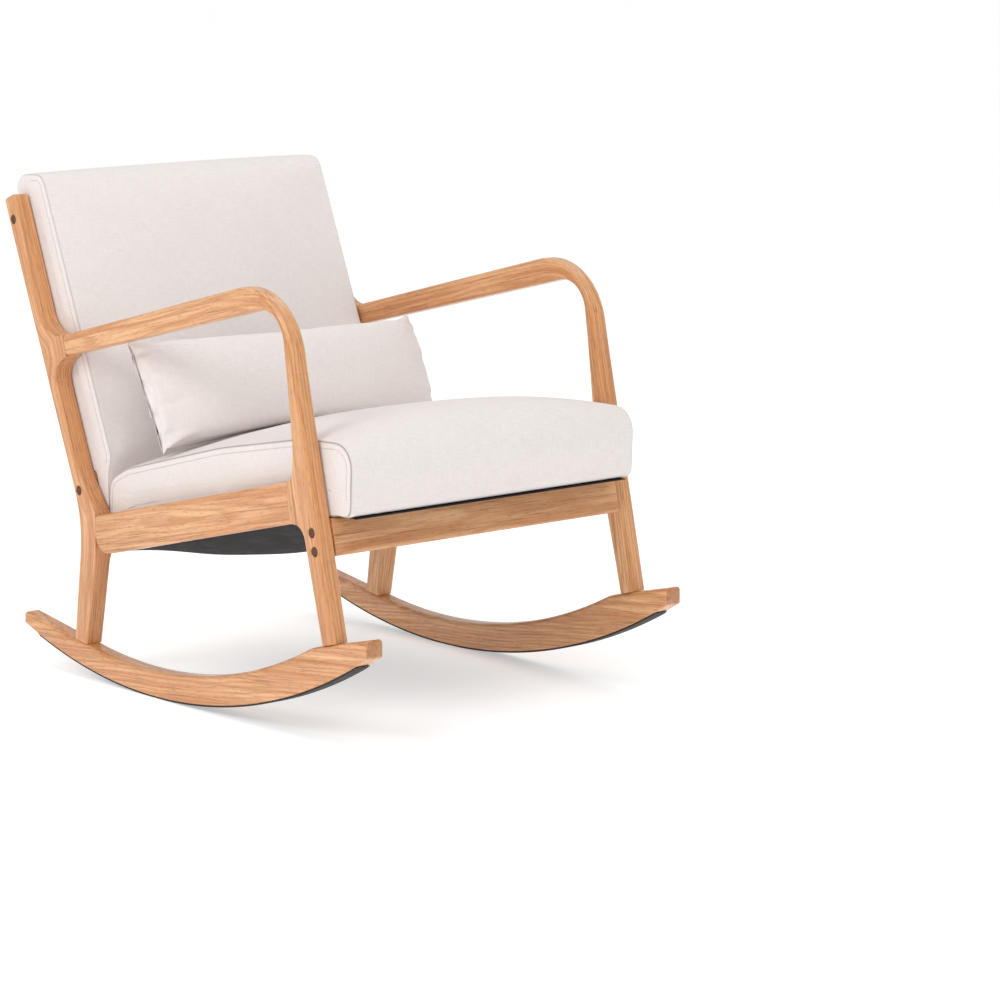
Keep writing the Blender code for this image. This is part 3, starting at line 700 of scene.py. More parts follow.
class ARMCHAIR_OT_bolt_caps(Operator):
    """Builds the caps in the bolt recesses: a shallow dish with a rolled rim."""
    bl_idname = "armchair.bolt_caps"
    bl_label = "Bolt caps"

    def execute(self, context):
        brown = cap_material()
        share = np.linspace(0, 1, 12)
        rim = 0.0004 * np.exp(-((share - 0.86) / 0.10) ** 2)
        dish = 0.0005 * share ** 2 + rim - 0.0012 * np.clip(share - 0.92, 0, 1) / 0.08
        wall = np.array([[CAP_RADIUS, -CAP_DEPTH], [CAP_RADIUS * 0.5, -CAP_DEPTH]])
        profile = np.concatenate([np.stack([np.maximum(share, 0.02) * CAP_RADIUS, dish], -1), wall])
        for name, side in SIDES.items():
            for key in ("leg_upper", "leg_lower", "seat", "back"):
                node = f"cap_{key}_{name}"
                mesh = turned(node, profile, side, side * (OUTER - CAP_SINK), node, 40)
                mesh.set_sharp_from_angle(angle=math.radians(60))
                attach(shown(f"bolt_cap_{key}_{name}", mesh, brown, "cap_brown", node), BODY)
        return {"FINISHED"}


# ---------------------------------------------------------------- padded pieces

RING_SPACING = 0.0105
SEAM_CLOSE = np.array([0.0, 0.0013, 0.0026, 0.0042, 0.0065, 0.0100, 0.0150])
SIDE_DISTANCES = np.array([0.0013, 0.0026, 0.0042, 0.0065, 0.0100, 0.0160])
SHADE_WIDTH = 0.0018         # reach of the painted shade line in a seam
GROOVE_WIDTH = 0.0019
STITCH_RADIUS = 0.00050
STITCH_ROW = 5               # rings between a seam and its stitches


def even_profile(corners, count):
    """A closed outline from corners (f, h, radius), with count points in equal steps."""
    line = curve_line([*corners, corners[0]])
    return at_lengths(line, np.linspace(0, walked(line)[-1], count, endpoint=False))


def outward(profile):
    """Unit normals of a closed outline, pointing out: its tangents turned a quarter, away from the area."""
    tangent = np.roll(profile, -1, axis=0) - np.roll(profile, 1, axis=0)
    tangent /= np.linalg.norm(tangent, axis=1)[:, None]
    after = np.roll(profile, -1, axis=0)
    area = (profile[:, 0] * after[:, 1] - profile[:, 1] * after[:, 0]).sum()
    return np.stack([tangent[:, 1], -tangent[:, 0]], -1) * np.sign(area)


def smooth_step(value, start, end):
    """0 before start, 1 after end, and 3 t ** 2 - 2 t ** 3 of the share t between them."""
    share = np.clip((value - start) / (end - start), 0, 1)
    return share * share * (3 - 2 * share)


def panel_places(half):
    """x of the rings across the main panel, drawn together near the two seams."""
    inner = np.linspace(-half + 0.022, half - 0.022, max(4, math.ceil(2 * half / RING_SPACING)))
    return np.concatenate([-half + SEAM_CLOSE, inner, (half - SEAM_CLOSE)[::-1]])


def boxed_cushion(name, profile, spine, half, amount, bulge, flatness, seam_shade):
    """Closed cushion with a main panel that runs round the profile and two side panels sewn to it.

    Main panel: each ring is the profile at its own x, moved along the profile's normals by amount
    times 1 - |x / half| ** flatness, which crowns the panel between its seams.
    Side panel: the profile drawn in towards its spine, first by fixed distances and then by shares,
    and pushed outwards by bulge in the middle.
    Gives the mesh, each vertex's distance from a seam (negative on the side panels), the number of
    rings in a side panel, and the shape of the grid of rings.
    """
    x = panel_places(half)
    crown = (1 - np.abs(x / half) ** flatness)[:, None, None]
    normal = outward(profile)
    panel = profile[None] + normal[None] * amount[None, :, None] * crown
    panel_cloth = np.stack(np.broadcast_arrays(x[:, None], walked(profile)[None], 0.0), -1)

    start, end = (np.array(p) for p in spine)
    share = np.clip(((profile - start) @ (end - start)) / ((end - start) @ (end - start)), 0, 1)
    inner = start + share[:, None] * (end - start)
    reach = np.linalg.norm(profile - inner, axis=1)
    near = SIDE_DISTANCES[:, None] / reach[None]
    far = near[-1] + (1 - near[-1]) * np.linspace(0, 1, 6)[1:-1, None]
    drawn = np.minimum(np.concatenate([near, far]), 0.97)
    side = profile[None] + (inner - profile)[None] * drawn[..., None]
    side_x = half + bulge * (1 - (1 - drawn) ** 2)
    side_seam = drawn * reach[None]
    side_cloth = np.concatenate([side + 3.0, np.zeros_like(side[..., :1])], -1)

    rings = np.concatenate([
        to_world(-side_x[::-1], side[::-1]), to_world(x[:, None], panel), to_world(side_x, side),
    ])
    cloth = np.concatenate([side_cloth[::-1], panel_cloth, side_cloth])
    panel_seam = np.broadcast_to((half - np.abs(x))[:, None], panel.shape[:2])
    seam = np.concatenate([-side_seam[::-1], panel_seam, -side_seam])
    mesh = closed_mesh(name, rings)
    ends = np.stack([cloth[0].mean(0), cloth[-1].mean(0)])
    give_vectors(mesh, "cloth", np.concatenate([cloth.reshape(-1, 3), ends]))
    seam = np.concatenate([seam.ravel(), [-1.0, -1.0]])
    # The seam attribute is painted shade along the seams, as strong as seam_shade on the seam line itself.
    give_values(mesh, "seam", seam_shade * np.exp(-(seam / SHADE_WIDTH) ** 2))
    return mesh, seam, len(side), rings.shape[:2]


def inflate(piece, pressure, cap, free):
    """Runs the piece as cloth with pressure inside and no gravity, then keeps each vertex's move,
    shortened to cap and multiplied by free, which is 0 where the cloth is held and 1 where not."""
    scene = bpy.context.scene
    rest = read_points(piece.data)
    held = piece.vertex_groups.new(name="held")
    held.add(np.flatnonzero(free < 0.02).tolist(), 1.0, "REPLACE")
    cloth = piece.modifiers.new("Filling", "CLOTH")
    cloth.settings.quality = 6
    cloth.settings.mass = 0.3
    cloth.settings.tension_stiffness = 20
    cloth.settings.compression_stiffness = 20
    cloth.settings.bending_stiffness = 0.6
    cloth.settings.use_pressure = True
    cloth.settings.uniform_pressure_force = pressure
    cloth.settings.vertex_group_mass = "held"
    cloth.settings.effector_weights.gravity = 0
    cloth.point_cache.frame_start = 1
    cloth.point_cache.frame_end = SIM_FRAMES
    for number in range(1, SIM_FRAMES + 1):
        scene.frame_set(number)
    evaluated = piece.evaluated_get(bpy.context.evaluated_depsgraph_get())
    moved = read_points(evaluated.data) - rest
    piece.modifiers.clear()
    piece.vertex_groups.clear()
    scene.frame_set(1)
    size = np.linalg.norm(moved, axis=1, keepdims=True)
    moved *= np.minimum(1.0, cap / np.maximum(size, 1e-9)) * free[:, None]
    write_points(piece.data, rest + moved)


def ripple(along, seed, wavelength):
    """Smooth noise along a line, between about -1 and 1: a sum of sines with seeded phases."""
    count = 7
    random = np.random.default_rng(seed)
    wave = np.zeros_like(along)
    for _ in range(count):
        stretch, phase = random.uniform(0.5, 1.9), random.uniform(0, 2 * math.pi)
        wave += np.sin(2 * math.pi * along / (wavelength * stretch) + phase)
    return wave / count * 1.6


def sew(mesh, seam, along, seed, depth):
    """Presses a groove along the seams, depth * exp(-(distance / width) ** 2), and gathers the cloth
    a little beside them."""
    normal = read_normals(mesh)
    distance = np.abs(seam)
    groove = -depth * np.exp(-(distance / GROOVE_WIDTH) ** 2)
    beside = np.exp(-distance / 0.010) * (1 - np.exp(-(distance / 0.004) ** 2))
    gathers = 0.0007 * ripple(along, seed, 0.028) * beside
    write_points(mesh, read_points(mesh) + normal * (groove + gathers)[:, None])


def refine(piece):
    """Adds one subdivision."""
    smooth = piece.modifiers.new("Smooth", "SUBSURF")
    smooth.levels = smooth.render_levels = 1


def add_wall(piece, thickness):
    """Gives a sheet its thickness, away from the side that its faces look to."""
    wall = piece.modifiers.new("Cloth", "SOLIDIFY")
    wall.thickness = thickness
    wall.offset = -1.0


def stitches(name, line, normals):
    """A row of stitches along a line on the cloth: each is a small capsule, a ring of radii along its
    length times six directions round it, sunk at both ends."""
    pitch = sizes().stitch_pitch
    s = walked(line)
    places = np.arange(pitch, s[-1] - pitch, pitch)
    middles = at_lengths(line, places)
    up = np.stack([np.interp(places, s, normals[:, k]) for k in range(3)], -1)
    up /= np.linalg.norm(up, axis=1)[:, None]
    ahead = at_lengths(line, places + pitch / 4) - at_lengths(line, places - pitch / 4)
    ahead /= np.linalg.norm(ahead, axis=1)[:, None]
    across = np.cross(up, ahead)
    share = np.linspace(-1, 1, 5)
    radius = STITCH_RADIUS * np.array([0.35, 0.9, 1.0, 0.9, 0.35])
    lift = 0.00022 - 0.0005 * share ** 4
    angle = np.linspace(0, 2 * math.pi, 6, endpoint=False)
    local = np.stack([
        np.broadcast_to((share * pitch * 0.36)[:, None], (5, 6)),
        radius[:, None] * np.cos(angle),
        radius[:, None] * np.sin(angle) + lift[:, None],
    ], -1).reshape(-1, 3)
    points = (middles[:, None] + local[None, :, :1] * ahead[:, None] + local[None, :, 1:2] * across[:, None]
              + local[None, :, 2:] * up[:, None]).reshape(-1, 3)
    start = 30 * np.arange(len(places))[:, None, None]
    ends = np.array([[5, 4, 3, 2, 1, 0], [24, 25, 26, 27, 28, 29]])
    faces = (grid_faces(5, 6, True)[None] + start).reshape(-1, 4).tolist()
    faces += (ends[None] + start).reshape(-1, 6).tolist()
    mesh = bpy.data.meshes.new(name)
    mesh.from_pydata(points.tolist(), [], facing_out(points, faces))
    mesh.shade_smooth()
    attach(shown(name, mesh, thread_material(), "linen"), BODY)


def finish_cushion(piece, seam, side_rings, shape, profile, free, pressure, cap, seed, depth, open_part):
    mesh = piece.data
    loose = np.concatenate([np.tile(free, shape[0]), [0, 0]])
    inflate(piece, pressure, cap, loose * np.where(seam > 0, smooth_step(seam, 0.002, 0.030), 0.05))
    around = np.arange(shape[1]) * walked(profile)[-1] / shape[1]
    sew(mesh, seam, np.concatenate([np.tile(around, shape[0]), [0, 0]]), seed, depth)
    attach(piece, BODY)
    columns = np.flatnonzero(open_part)
    points, normals = read_points(mesh), read_normals(mesh)
    for side, row in (("right", side_rings - STITCH_ROW), ("left", shape[0] - 1 - side_rings + STITCH_ROW)):
        ring = row * shape[1] + np.arange(columns.min(), columns.max())
        stitches(piece.name.replace("pad", "stitches_") + side, points[ring], normals[ring])
    refine(piece)


SEAT_REAR = -0.1512
SEAT_FRONT = 0.4390


def seat_profile(count):
    """Side outline of the seat, starting under its rear edge and going forward along the underside."""
    return even_profile([
        (SEAT_REAR - 0.0015, rail_line(SEAT_REAR) - 0.0012, 0.0),
        (0.4060, rail_line(0.4060) + 0.0012, 0.0),
        (SEAT_FRONT - 0.002, rail_line(0.4060) - 0.0005, 0.010),
        (SEAT_FRONT + 0.002, 0.4370, 0.034),
        (0.3300, 0.4330, 0.300),
        (0.1310, 0.3960, 0.600),
        (-0.1050, 0.3350, 0.060),
        (SEAT_REAR, 0.3120, 0.026),
    ], count)


class ARMCHAIR_OT_seat(Operator):
    """Builds the seat cushion: a crowned panel from rear to front, and two sewn side panels."""
    bl_idname = "armchair.seat"
    bl_label = "Seat cushion"

    def execute(self, context):
        profile = seat_profile(132)
        half = INNER - 0.0018
        f, h = profile.T
        above = smooth_step(h - rail_line(f), 0.015, 0.075)
        swell = 0.70 + 0.30 * smooth_step(f, -0.12, 0.22)
        front = 1 - 0.62 * smooth_step(f, 0.385, 0.435)
        amount = sizes().seat_crown * above * swell * front
        spine = ((SEAT_REAR + 0.040, 0.290), (SEAT_FRONT - 0.050, 0.378))
        mesh, seam, side_rings, shape = boxed_cushion(
            "seat_pad", profile, spine, half, 0.72 * amount, bulge=0.0008, flatness=2.6, seam_shade=1.0)
        piece = shown("seat_pad", mesh, linen_material(), "linen", "seat_cushion")
        finish_cushion(
            piece, seam, side_rings, shape, profile, free=smooth_step(h - rail_line(f), 0.012, 0.040),
            pressure=3.2, cap=0.016, seed=11, depth=0.0016, open_part=h - rail_line(f) > 0.012)
        self.stiles()
        return {"FINISHED"}

    def stiles(self):
        """Side members of the seat's inner frame, kept inside the cloth: a straight section along f."""
        for name, side in SIDES.items():
            low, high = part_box("seat_stile_" + name)
            outer = INNER - 0.0033
            inner = min(abs(low.x), abs(high.x))
            f = np.linspace(SEAT_REAR + 0.0022, 0.4045, 12)
            middles = to_world(side * (inner + outer) / 2, np.stack([f, rail_line(f) + 0.0118], -1))
            axis_q = np.broadcast_to([0.0, SEAT_SLOPE, 1.0], middles.shape)
            axis_p = np.broadcast_to([1.0, 0.0, 0.0], middles.shape)
            fill = np.ones_like(f)
            rings = section_rings(
                middles, axis_p, axis_q, fill * (outer - inner) / 2, fill * 0.0098,
                fill * 0.0008, fill * 0.0008, 0 * f)
            mesh = closed_mesh("seat_stile_board_" + name, rings)
            points = read_points(mesh)
            give_vectors(mesh, "grain", np.stack([-points[:, 1] + side, points[:, 2], points[:, 0]], -1))
            mesh.set_sharp_from_angle(angle=SHARP_ANGLE)
            wood = wood_material("honey_wood")
            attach(shown("seat_stile_board_" + name, mesh, wood, "wood", "seat_stile_" + name), BODY)


BACK_TOP_H = 0.7690
BACK_BOTTOM_H = 0.352


def back_profile(count):
    """Side outline of the back: its rear lies along the posts, its front leans with them."""
    def corner(h, ahead, radius=0.0, lift=0.0):
        return post_line(h) + ahead, h + lift, radius
    return even_profile([
        corner(0.345, 0.0014),
        corner(0.3195, 0.0014, 0.005),
        (-0.1862, 0.3195, 0.002),
        (-0.1722, 0.2590, 0.005),
        (-0.1540, 0.2590, 0.006),
        (-0.1540, 0.3200, 0.012),
        (-0.1455, 0.3470, 0.020),
        corner(BACK_TOP_H, 0.0735, 0.020),
        (-0.3910, BACK_TOP_H - 0.004, 0.027),
        (-0.3880, 0.7320, 0.004),
        corner(0.7300, 0.0014, 0.002),
    ], count)


class ARMCHAIR_OT_back(Operator):
    """Builds the back pad, crowned between its side seams, and the cloth panel behind it."""
    bl_idname = "armchair.back"
    bl_label = "Back"

    def execute(self, context):
        profile = back_profile(118)
        half = INNER - 0.0026
        f, h = profile.T
        ahead = f - post_line(h)
        front = smooth_step(ahead, 0.028, 0.066)
        ends = smooth_step(h, BACK_BOTTOM_H, BACK_BOTTOM_H + 0.09)
        ends = ends * (1 - 0.72 * smooth_step(h, BACK_TOP_H - 0.10, BACK_TOP_H))
        top = smooth_step(h, BACK_TOP_H - 0.02, BACK_TOP_H - 0.005) * smooth_step(ahead, 0.004, 0.03)
        amount = np.maximum(sizes().back_crown * front * ends, 0.0030 * top)
        high = BACK_TOP_H - 0.035
        spine = ((-0.172, 0.335), (post_line(high) + 0.038, high))
        mesh, seam, side_rings, shape = boxed_cushion(
            "back_pad", profile, spine, half, 0.75 * amount, bulge=0.0010, flatness=3.0, seam_shade=0.6)
        piece = shown("back_pad", mesh, linen_material(), "linen", "back_cushion")
        finish_cushion(
            piece, seam, side_rings, shape, profile, free=smooth_step(ahead, 0.030, 0.060),
            pressure=3.0, cap=0.012, seed=23, depth=0.0015, open_part=(ahead > 0.020) & (h > 0.330))
        self.panel()
        return {"FINISHED"}

    def panel(self):
        """Cloth stretched over the back's rear: a flat grid, pulled tight, that dips a little."""
        low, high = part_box("back_panel")
        half, bottom, top = high.x - 0.006, low.z + 0.012, 0.7290
        x, h = np.meshgrid(np.linspace(-half, half, 90), np.linspace(bottom, top, 76), indexing="ij")
        edge = np.minimum(half - np.abs(x), np.minimum(h - bottom, top - h))
        dip = 0.0008 * smooth_step(edge, 0.0, 0.06) - 0.0006 * np.exp(-(edge / 0.004) ** 2)
        pull = 0.0003 * ripple(x + 0.3 * h, 31, 0.060) * np.exp(-edge / 0.03)
        grid = to_world(x, np.stack([post_line(h) + 0.0002 + dip * 0.4 + pull, h], -1))
        faces = grid_faces(*x.shape, False)
        mesh = bpy.data.meshes.new("rear_cloth")
        mesh.from_pydata(grid.reshape(-1, 3).tolist(), [], faces.tolist())
        if mesh.polygons[0].normal.y < 0:
            mesh.flip_normals()
        mesh.shade_smooth()
        cloth = np.stack([x, h * math.hypot(1, POST_LEAN), np.zeros_like(x)], -1)
        give_vectors(mesh, "cloth", cloth.reshape(-1, 3))
        piece = shown("rear_cloth", mesh, linen_material(), "linen", "back_panel")
        add_wall(piece, 0.0010)
        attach(piece, BODY)


PILLOW_CENTRE = (-0.0650, 0.4430)
PILLOW_HALF = (0.270, 0.096)       # half the width and half the height of the flat cover
PILLOW_LEAN = math.radians(25.5)
PILLOW_TURN = math.radians(-4.0)
PILLOW_CLEARANCE = 0.0012
PILLOW_SOFT = 0.0045                # how gradually the pillow leaves what it lies on
PILLOW_FOLDS = (   # which end, height of the fold's start, its slope and how far it reaches
    (-1, 0.068, -0.10, 0.026), (-1, -0.030, 0.22, 0.036), (-1, -0.068, 0.06, 0.026), (-1, 0.026, -0.20, 0.018),
    (1, 0.060, -0.15, 0.024), (1, -0.052, 0.12, 0.030), (1, 0.008, 0.20, 0.018),
)


class ARMCHAIR_OT_pillow(Operator):
    """Builds the loose pillow: two panels sewn round the edge and filled. Across its width and height
    the thickness is a power of (1 - |across| ** 3.6) * (1 - |up| ** 2.7), which is 0 at the seams."""
    bl_idname = "armchair.pillow"
    bl_label = "Pillow"

    def execute(self, context):
        wide, high = PILLOW_HALF
        quarter = math.pi / 2 * 0.94
        u = np.sin(np.linspace(-1, 1, 84) * quarter) / math.sin(quarter)
        turn = np.linspace(0, 2 * math.pi, 116, endpoint=False)
        z = np.sign(np.cos(turn)) * np.abs(np.cos(turn)) ** 0.8
        face = np.sin(turn)
        across, up = np.meshgrid(u, z, indexing="ij")
        room = np.clip((1 - np.abs(across) ** 3.6) * (1 - np.abs(up) ** 2.7), 0, 1)
        thick = room ** 0.56 * np.where(face > 0, 0.018, -0.054)[None]
        thick[:, np.abs(face) < 1e-6] = 0
        drawn = 1 - 0.020 * (1 - across ** 2) * np.abs(up) ** 6
        sides = 1 - 0.012 * (1 - up ** 2) * np.abs(across) ** 6
        rings = np.stack([across * wide * sides, thick, up * high * drawn], -1)
        mesh = closed_mesh("lumbar_pillow", rings)
        give_vectors(mesh, "cloth", np.concatenate([
            np.stack([across * wide, up * high, np.zeros_like(across)], -1).reshape(-1, 3), [[0, 0, 0]] * 2]))
        # A faint painted shade along the sewn edge, carried by the seam attribute.
        give_values(mesh, "seam", np.concatenate([
            np.broadcast_to(0.15 * (np.abs(face) < 1e-6), across.shape).ravel(), [0.15, 0.15]]))
        piece = shown("lumbar_pillow", mesh, linen_material(), "linen", "pillow")
        self.weld(mesh)
        inflate(piece, 3.0, 0.012, np.ones(len(mesh.vertices)))
        self.pucker(mesh, wide, high)
        self.stand(mesh, read_points(mesh))
        points = read_points(mesh)
        for name, axis, way in (("seat_pad", 2, 1), ("back_pad", 1, -1)):
            points = self.cleared(points, bpy.data.objects[name].data, axis, way)
        write_points(mesh, points)
        refine(piece)
        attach(piece, "pillow")
        return {"FINISHED"}

    def pucker(self, mesh, wide, high):
        """Gathers beside the seams, folds that fan out from the corners, and a few single folds. A fold
        is a groove, exp(-(d / width) ** 2) deep at a distance d from its line, that dies away from the
        short seam and draws the seam in where it starts."""
        points = read_points(mesh)
        x, y, z = points.T.copy()
        from_end, from_long = np.maximum(wide - np.abs(x), 0), np.maximum(high - np.abs(z), 0)
        edge = 1 - np.exp(-(np.minimum(from_end, from_long) / 0.004) ** 2)
        raised = 0.0030 * ripple(z + 0.3 * np.sign(x) + 0.1 * np.sign(y), 41, 0.034) * np.exp(-from_end / 0.020)
        raised += 0.0016 * ripple(x + 0.2 * np.sign(y) + 0.4 * np.sign(z), 43, 0.050) * np.exp(-from_long / 0.016)
        reach, angle = np.hypot(from_end, from_long), np.arctan2(from_long, from_end)
        fan = np.sin(9 * angle + 2.2 * np.sign(x) + 1.1 * np.sign(z)) * np.exp(-reach / 0.030)
        raised += 0.0060 * fan * (1 - np.exp(-(reach / 0.014) ** 2))
        drawn = 0.0022 * ripple(z, 47, 0.050)
        for end, start, slope, length in PILLOW_FOLDS:
            here, aside = x * end > 0, z - start - slope * from_end
            line = np.exp(-(aside / 0.0048) ** 2) * here * (1 if end < 0 else 0.4)
            ridge = np.exp(-((aside - 0.009) / 0.005) ** 2) * here
            raised -= 0.0140 * line * np.exp(-(from_end / length) ** 2)
            raised += 0.0035 * ridge * np.exp(-from_end / length)
            drawn -= 0.0045 * line
        points[:, 1] += np.sign(y) * np.where(y > 0, 0.2, 1.0) * raised * edge
        points[:, 0] += np.sign(x) * drawn * np.exp(-from_end / 0.012)
        slump = ((1 - x / wide) * (1 - z / high) / 4) ** 2
        points[:, 1] -= 0.020 * slump
        points[:, 2] -= 0.004 * slump
        write_points(mesh, points)

    def cleared(self, points, surface, axis, way):
        """Moves the points along one axis until they are clear of a surface. The surface's height at
        a point is that of its nearest vertex, carried on along the plane of the vertex; a height t
        above it becomes soft * log(1 + exp(t / soft)), which is never below 0."""
        places, normals = read_points(surface), read_normals(surface)
        facing = normals[:, axis] * way > 0.25
        places, normals = places[facing], normals[facing]
        others = [k for k in range(3) if k != axis]
        nearest = np.concatenate([
            ((part[:, None, others] - places[None][..., others]) ** 2).sum(-1).argmin(1)
            for part in np.array_split(points, 30)])
        aside = points[:, others] - places[nearest][:, others]
        level = places[nearest, axis] - (aside * normals[nearest][:, others]).sum(-1) / normals[nearest, axis]
        level += PILLOW_CLEARANCE * way
        height = (points[:, axis] - level) * way
        moved = points.copy()
        moved[:, axis] = level + way * PILLOW_SOFT * np.logaddexp(0, height / PILLOW_SOFT)
        return moved

    def weld(self, mesh):
        """Merges the two panels where they are sewn together at the pinched ends."""
        shape = bmesh.new()
        shape.from_mesh(mesh)
        bmesh.ops.remove_doubles(shape, verts=shape.verts, dist=0.0002)
        shape.to_mesh(mesh)
        shape.free()

    def stand(self, mesh, points):
        """Leans and turns the pillow and puts it on the seat, against the back."""
        cos, sin = math.cos(PILLOW_LEAN), math.sin(PILLOW_LEAN)
        x, y, z = points.T
        y, z = y * cos + z * sin, z * cos - y * sin
        cos, sin = math.cos(PILLOW_TURN), math.sin(PILLOW_TURN)
        x, y = x * cos - y * sin, x * sin + y * cos
        place = np.array([0.0, CONTACT_Y - PILLOW_CENTRE[0], PILLOW_CENTRE[1]])
        write_points(mesh, np.stack([x, y, z], -1) + place)


DUST_BELLY = 0.046
DUST_FRONT = SEAT_FRONT - 0.004


class ARMCHAIR_OT_dust_cover(Operator):
    """Builds the black cloth under the seat, which bellies down in the middle: its depth there times
    (1 - |along| ** 3) * (1 - |across| ** 2.4), below the line of the side rails."""
    bl_idname = "armchair.dust_cover"
    bl_label = "Dust cover"

    def execute(self, context):
        low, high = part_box("dust_cover")
        half, rear, front = high.x, CONTACT_Y - high.y, CONTACT_Y - low.y
        # In front of its box the cloth runs on under the seat's front edge, where it shows as a dark line: black
        # cloth that also stands in for the shade in the gap between the seat and the front rail.
        places = np.concatenate([np.linspace(rear, front, 80), np.linspace(front, DUST_FRONT, 24)[1:]])
        x, f = np.meshgrid(np.linspace(-half, half, 90), places, indexing="ij")
        across, along = x / half, 2 * (f - rear) / (front - rear) - 1
        inside = np.clip(1 - np.abs(along) ** 3, 0, 1) * (1 - np.abs(across) ** 2.4)
        belly = (DUST_BELLY + 0.0018 * np.sin(9 * across + 4 * along) * np.sin(3.3 * along + 1)) * inside
        flap = 0.0008 * smooth_step(f, DUST_FRONT - 0.010, DUST_FRONT)
        h = np.minimum(rail_line(f), rail_line(0.4060) - 0.0008) - 0.0001 - belly - flap
        grid = to_world(x, np.stack([f, h], -1))
        mesh = bpy.data.meshes.new("dust_cloth")
        mesh.from_pydata(grid.reshape(-1, 3).tolist(), [], grid_faces(*x.shape, False).tolist())
        if mesh.polygons[0].normal.z > 0:
            mesh.flip_normals()
        mesh.shade_smooth()
        give_vectors(mesh, "cloth", np.stack([x, f, np.zeros_like(x)], -1).reshape(-1, 3))
        piece = shown("dust_cloth", mesh, black_cloth_material(), "cloth_black", "dust_cover")
        add_wall(piece, 0.0008)
        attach(piece, BODY)
        return {"FINISHED"}


# ---------------------------------------------------------------- shader groups

def group_start(name, inputs, outputs):
    """A new shader group with named sockets, or None if it was made before."""
    if name in bpy.data.node_groups:
        return None
    tree = bpy.data.node_groups.new(name, "ShaderNodeTree")
    for label, kind, default in inputs:
        socket = tree.interface.new_socket(label, in_out="INPUT", socket_type=kind)
        if default is not None:
            socket.default_value = default
    for label, kind in outputs:
        tree.interface.new_socket(label, in_out="OUTPUT", socket_type=kind)
    return tree


class Nodes:
    """Short calls to add nodes to a tree and link them."""

    def __init__(self, tree):
        self.tree = tree

    def add(self, kind, settings=None, **inputs):
        """A new node with its settings, and a value or a link for each named input."""
        node = self.tree.nodes.new(kind)
        for key, value in (settings or {}).items():
            setattr(node, key, value)
        for key, value in inputs.items():
            self.feed(node.inputs[key.replace("_", " ")], value)
        return node

    def feed(self, socket, value):
        """Links a socket to the input, or sets the input's value."""
        if isinstance(value, bpy.types.NodeSocket):
            self.tree.links.new(value, socket)
        else:
            socket.default_value = value

    def math(self, operation, first, second=0.0, clamp=False):
        """Result of a math node."""
        node = self.tree.nodes.new("ShaderNodeMath")
        node.operation = operation
        node.use_clamp = clamp
        self.feed(node.inputs[0], first)
        self.feed(node.inputs[1], second)
        return node.outputs[0]

    def vector(self, operation, first, second):
        """Result of a vector math node, with a fixed second vector."""
        node = self.add("ShaderNodeVectorMath", {"operation": operation})
        self.feed(node.inputs[0], first)
        node.inputs[1].default_value = second
        return node.outputs[0]

    def noise(self, vector, factors, detail=2.0, rough=0.5, distortion=0.0):
        """Noise of the vector times the factors, in cycles a metre."""
        return self.add(
            "ShaderNodeTexNoise", Vector=self.vector("MULTIPLY", vector, factors), Scale=1.0,
            Detail=detail, Roughness=rough, Distortion=distortion).outputs["Fac"]

    def ramp(self, value, low, high):
        """Smooth step of the value from 0 at low to 1 at high."""
        node = self.add("ShaderNodeMapRange", {"interpolation_type": "SMOOTHSTEP"}, Value=value)
        for key, number in (("From Min", low), ("From Max", high), ("To Min", 0.0), ("To Max", 1.0)):
            node.inputs[key].default_value = number
        return node.outputs["Result"]

    def mix(self, factor, first, second):
        """Colour between the first and the second."""
        node = self.add("ShaderNodeMix", {"data_type": "RGBA"})
        self.feed(node.inputs["Factor"], factor)
        for key, value in (("A", first), ("B", second)):
            self.feed([i for i in node.inputs if i.name == key and i.type == "RGBA"][0], value)
        return [o for o in node.outputs if o.type == "RGBA"][0]


RING_WIDTH = 0.0046


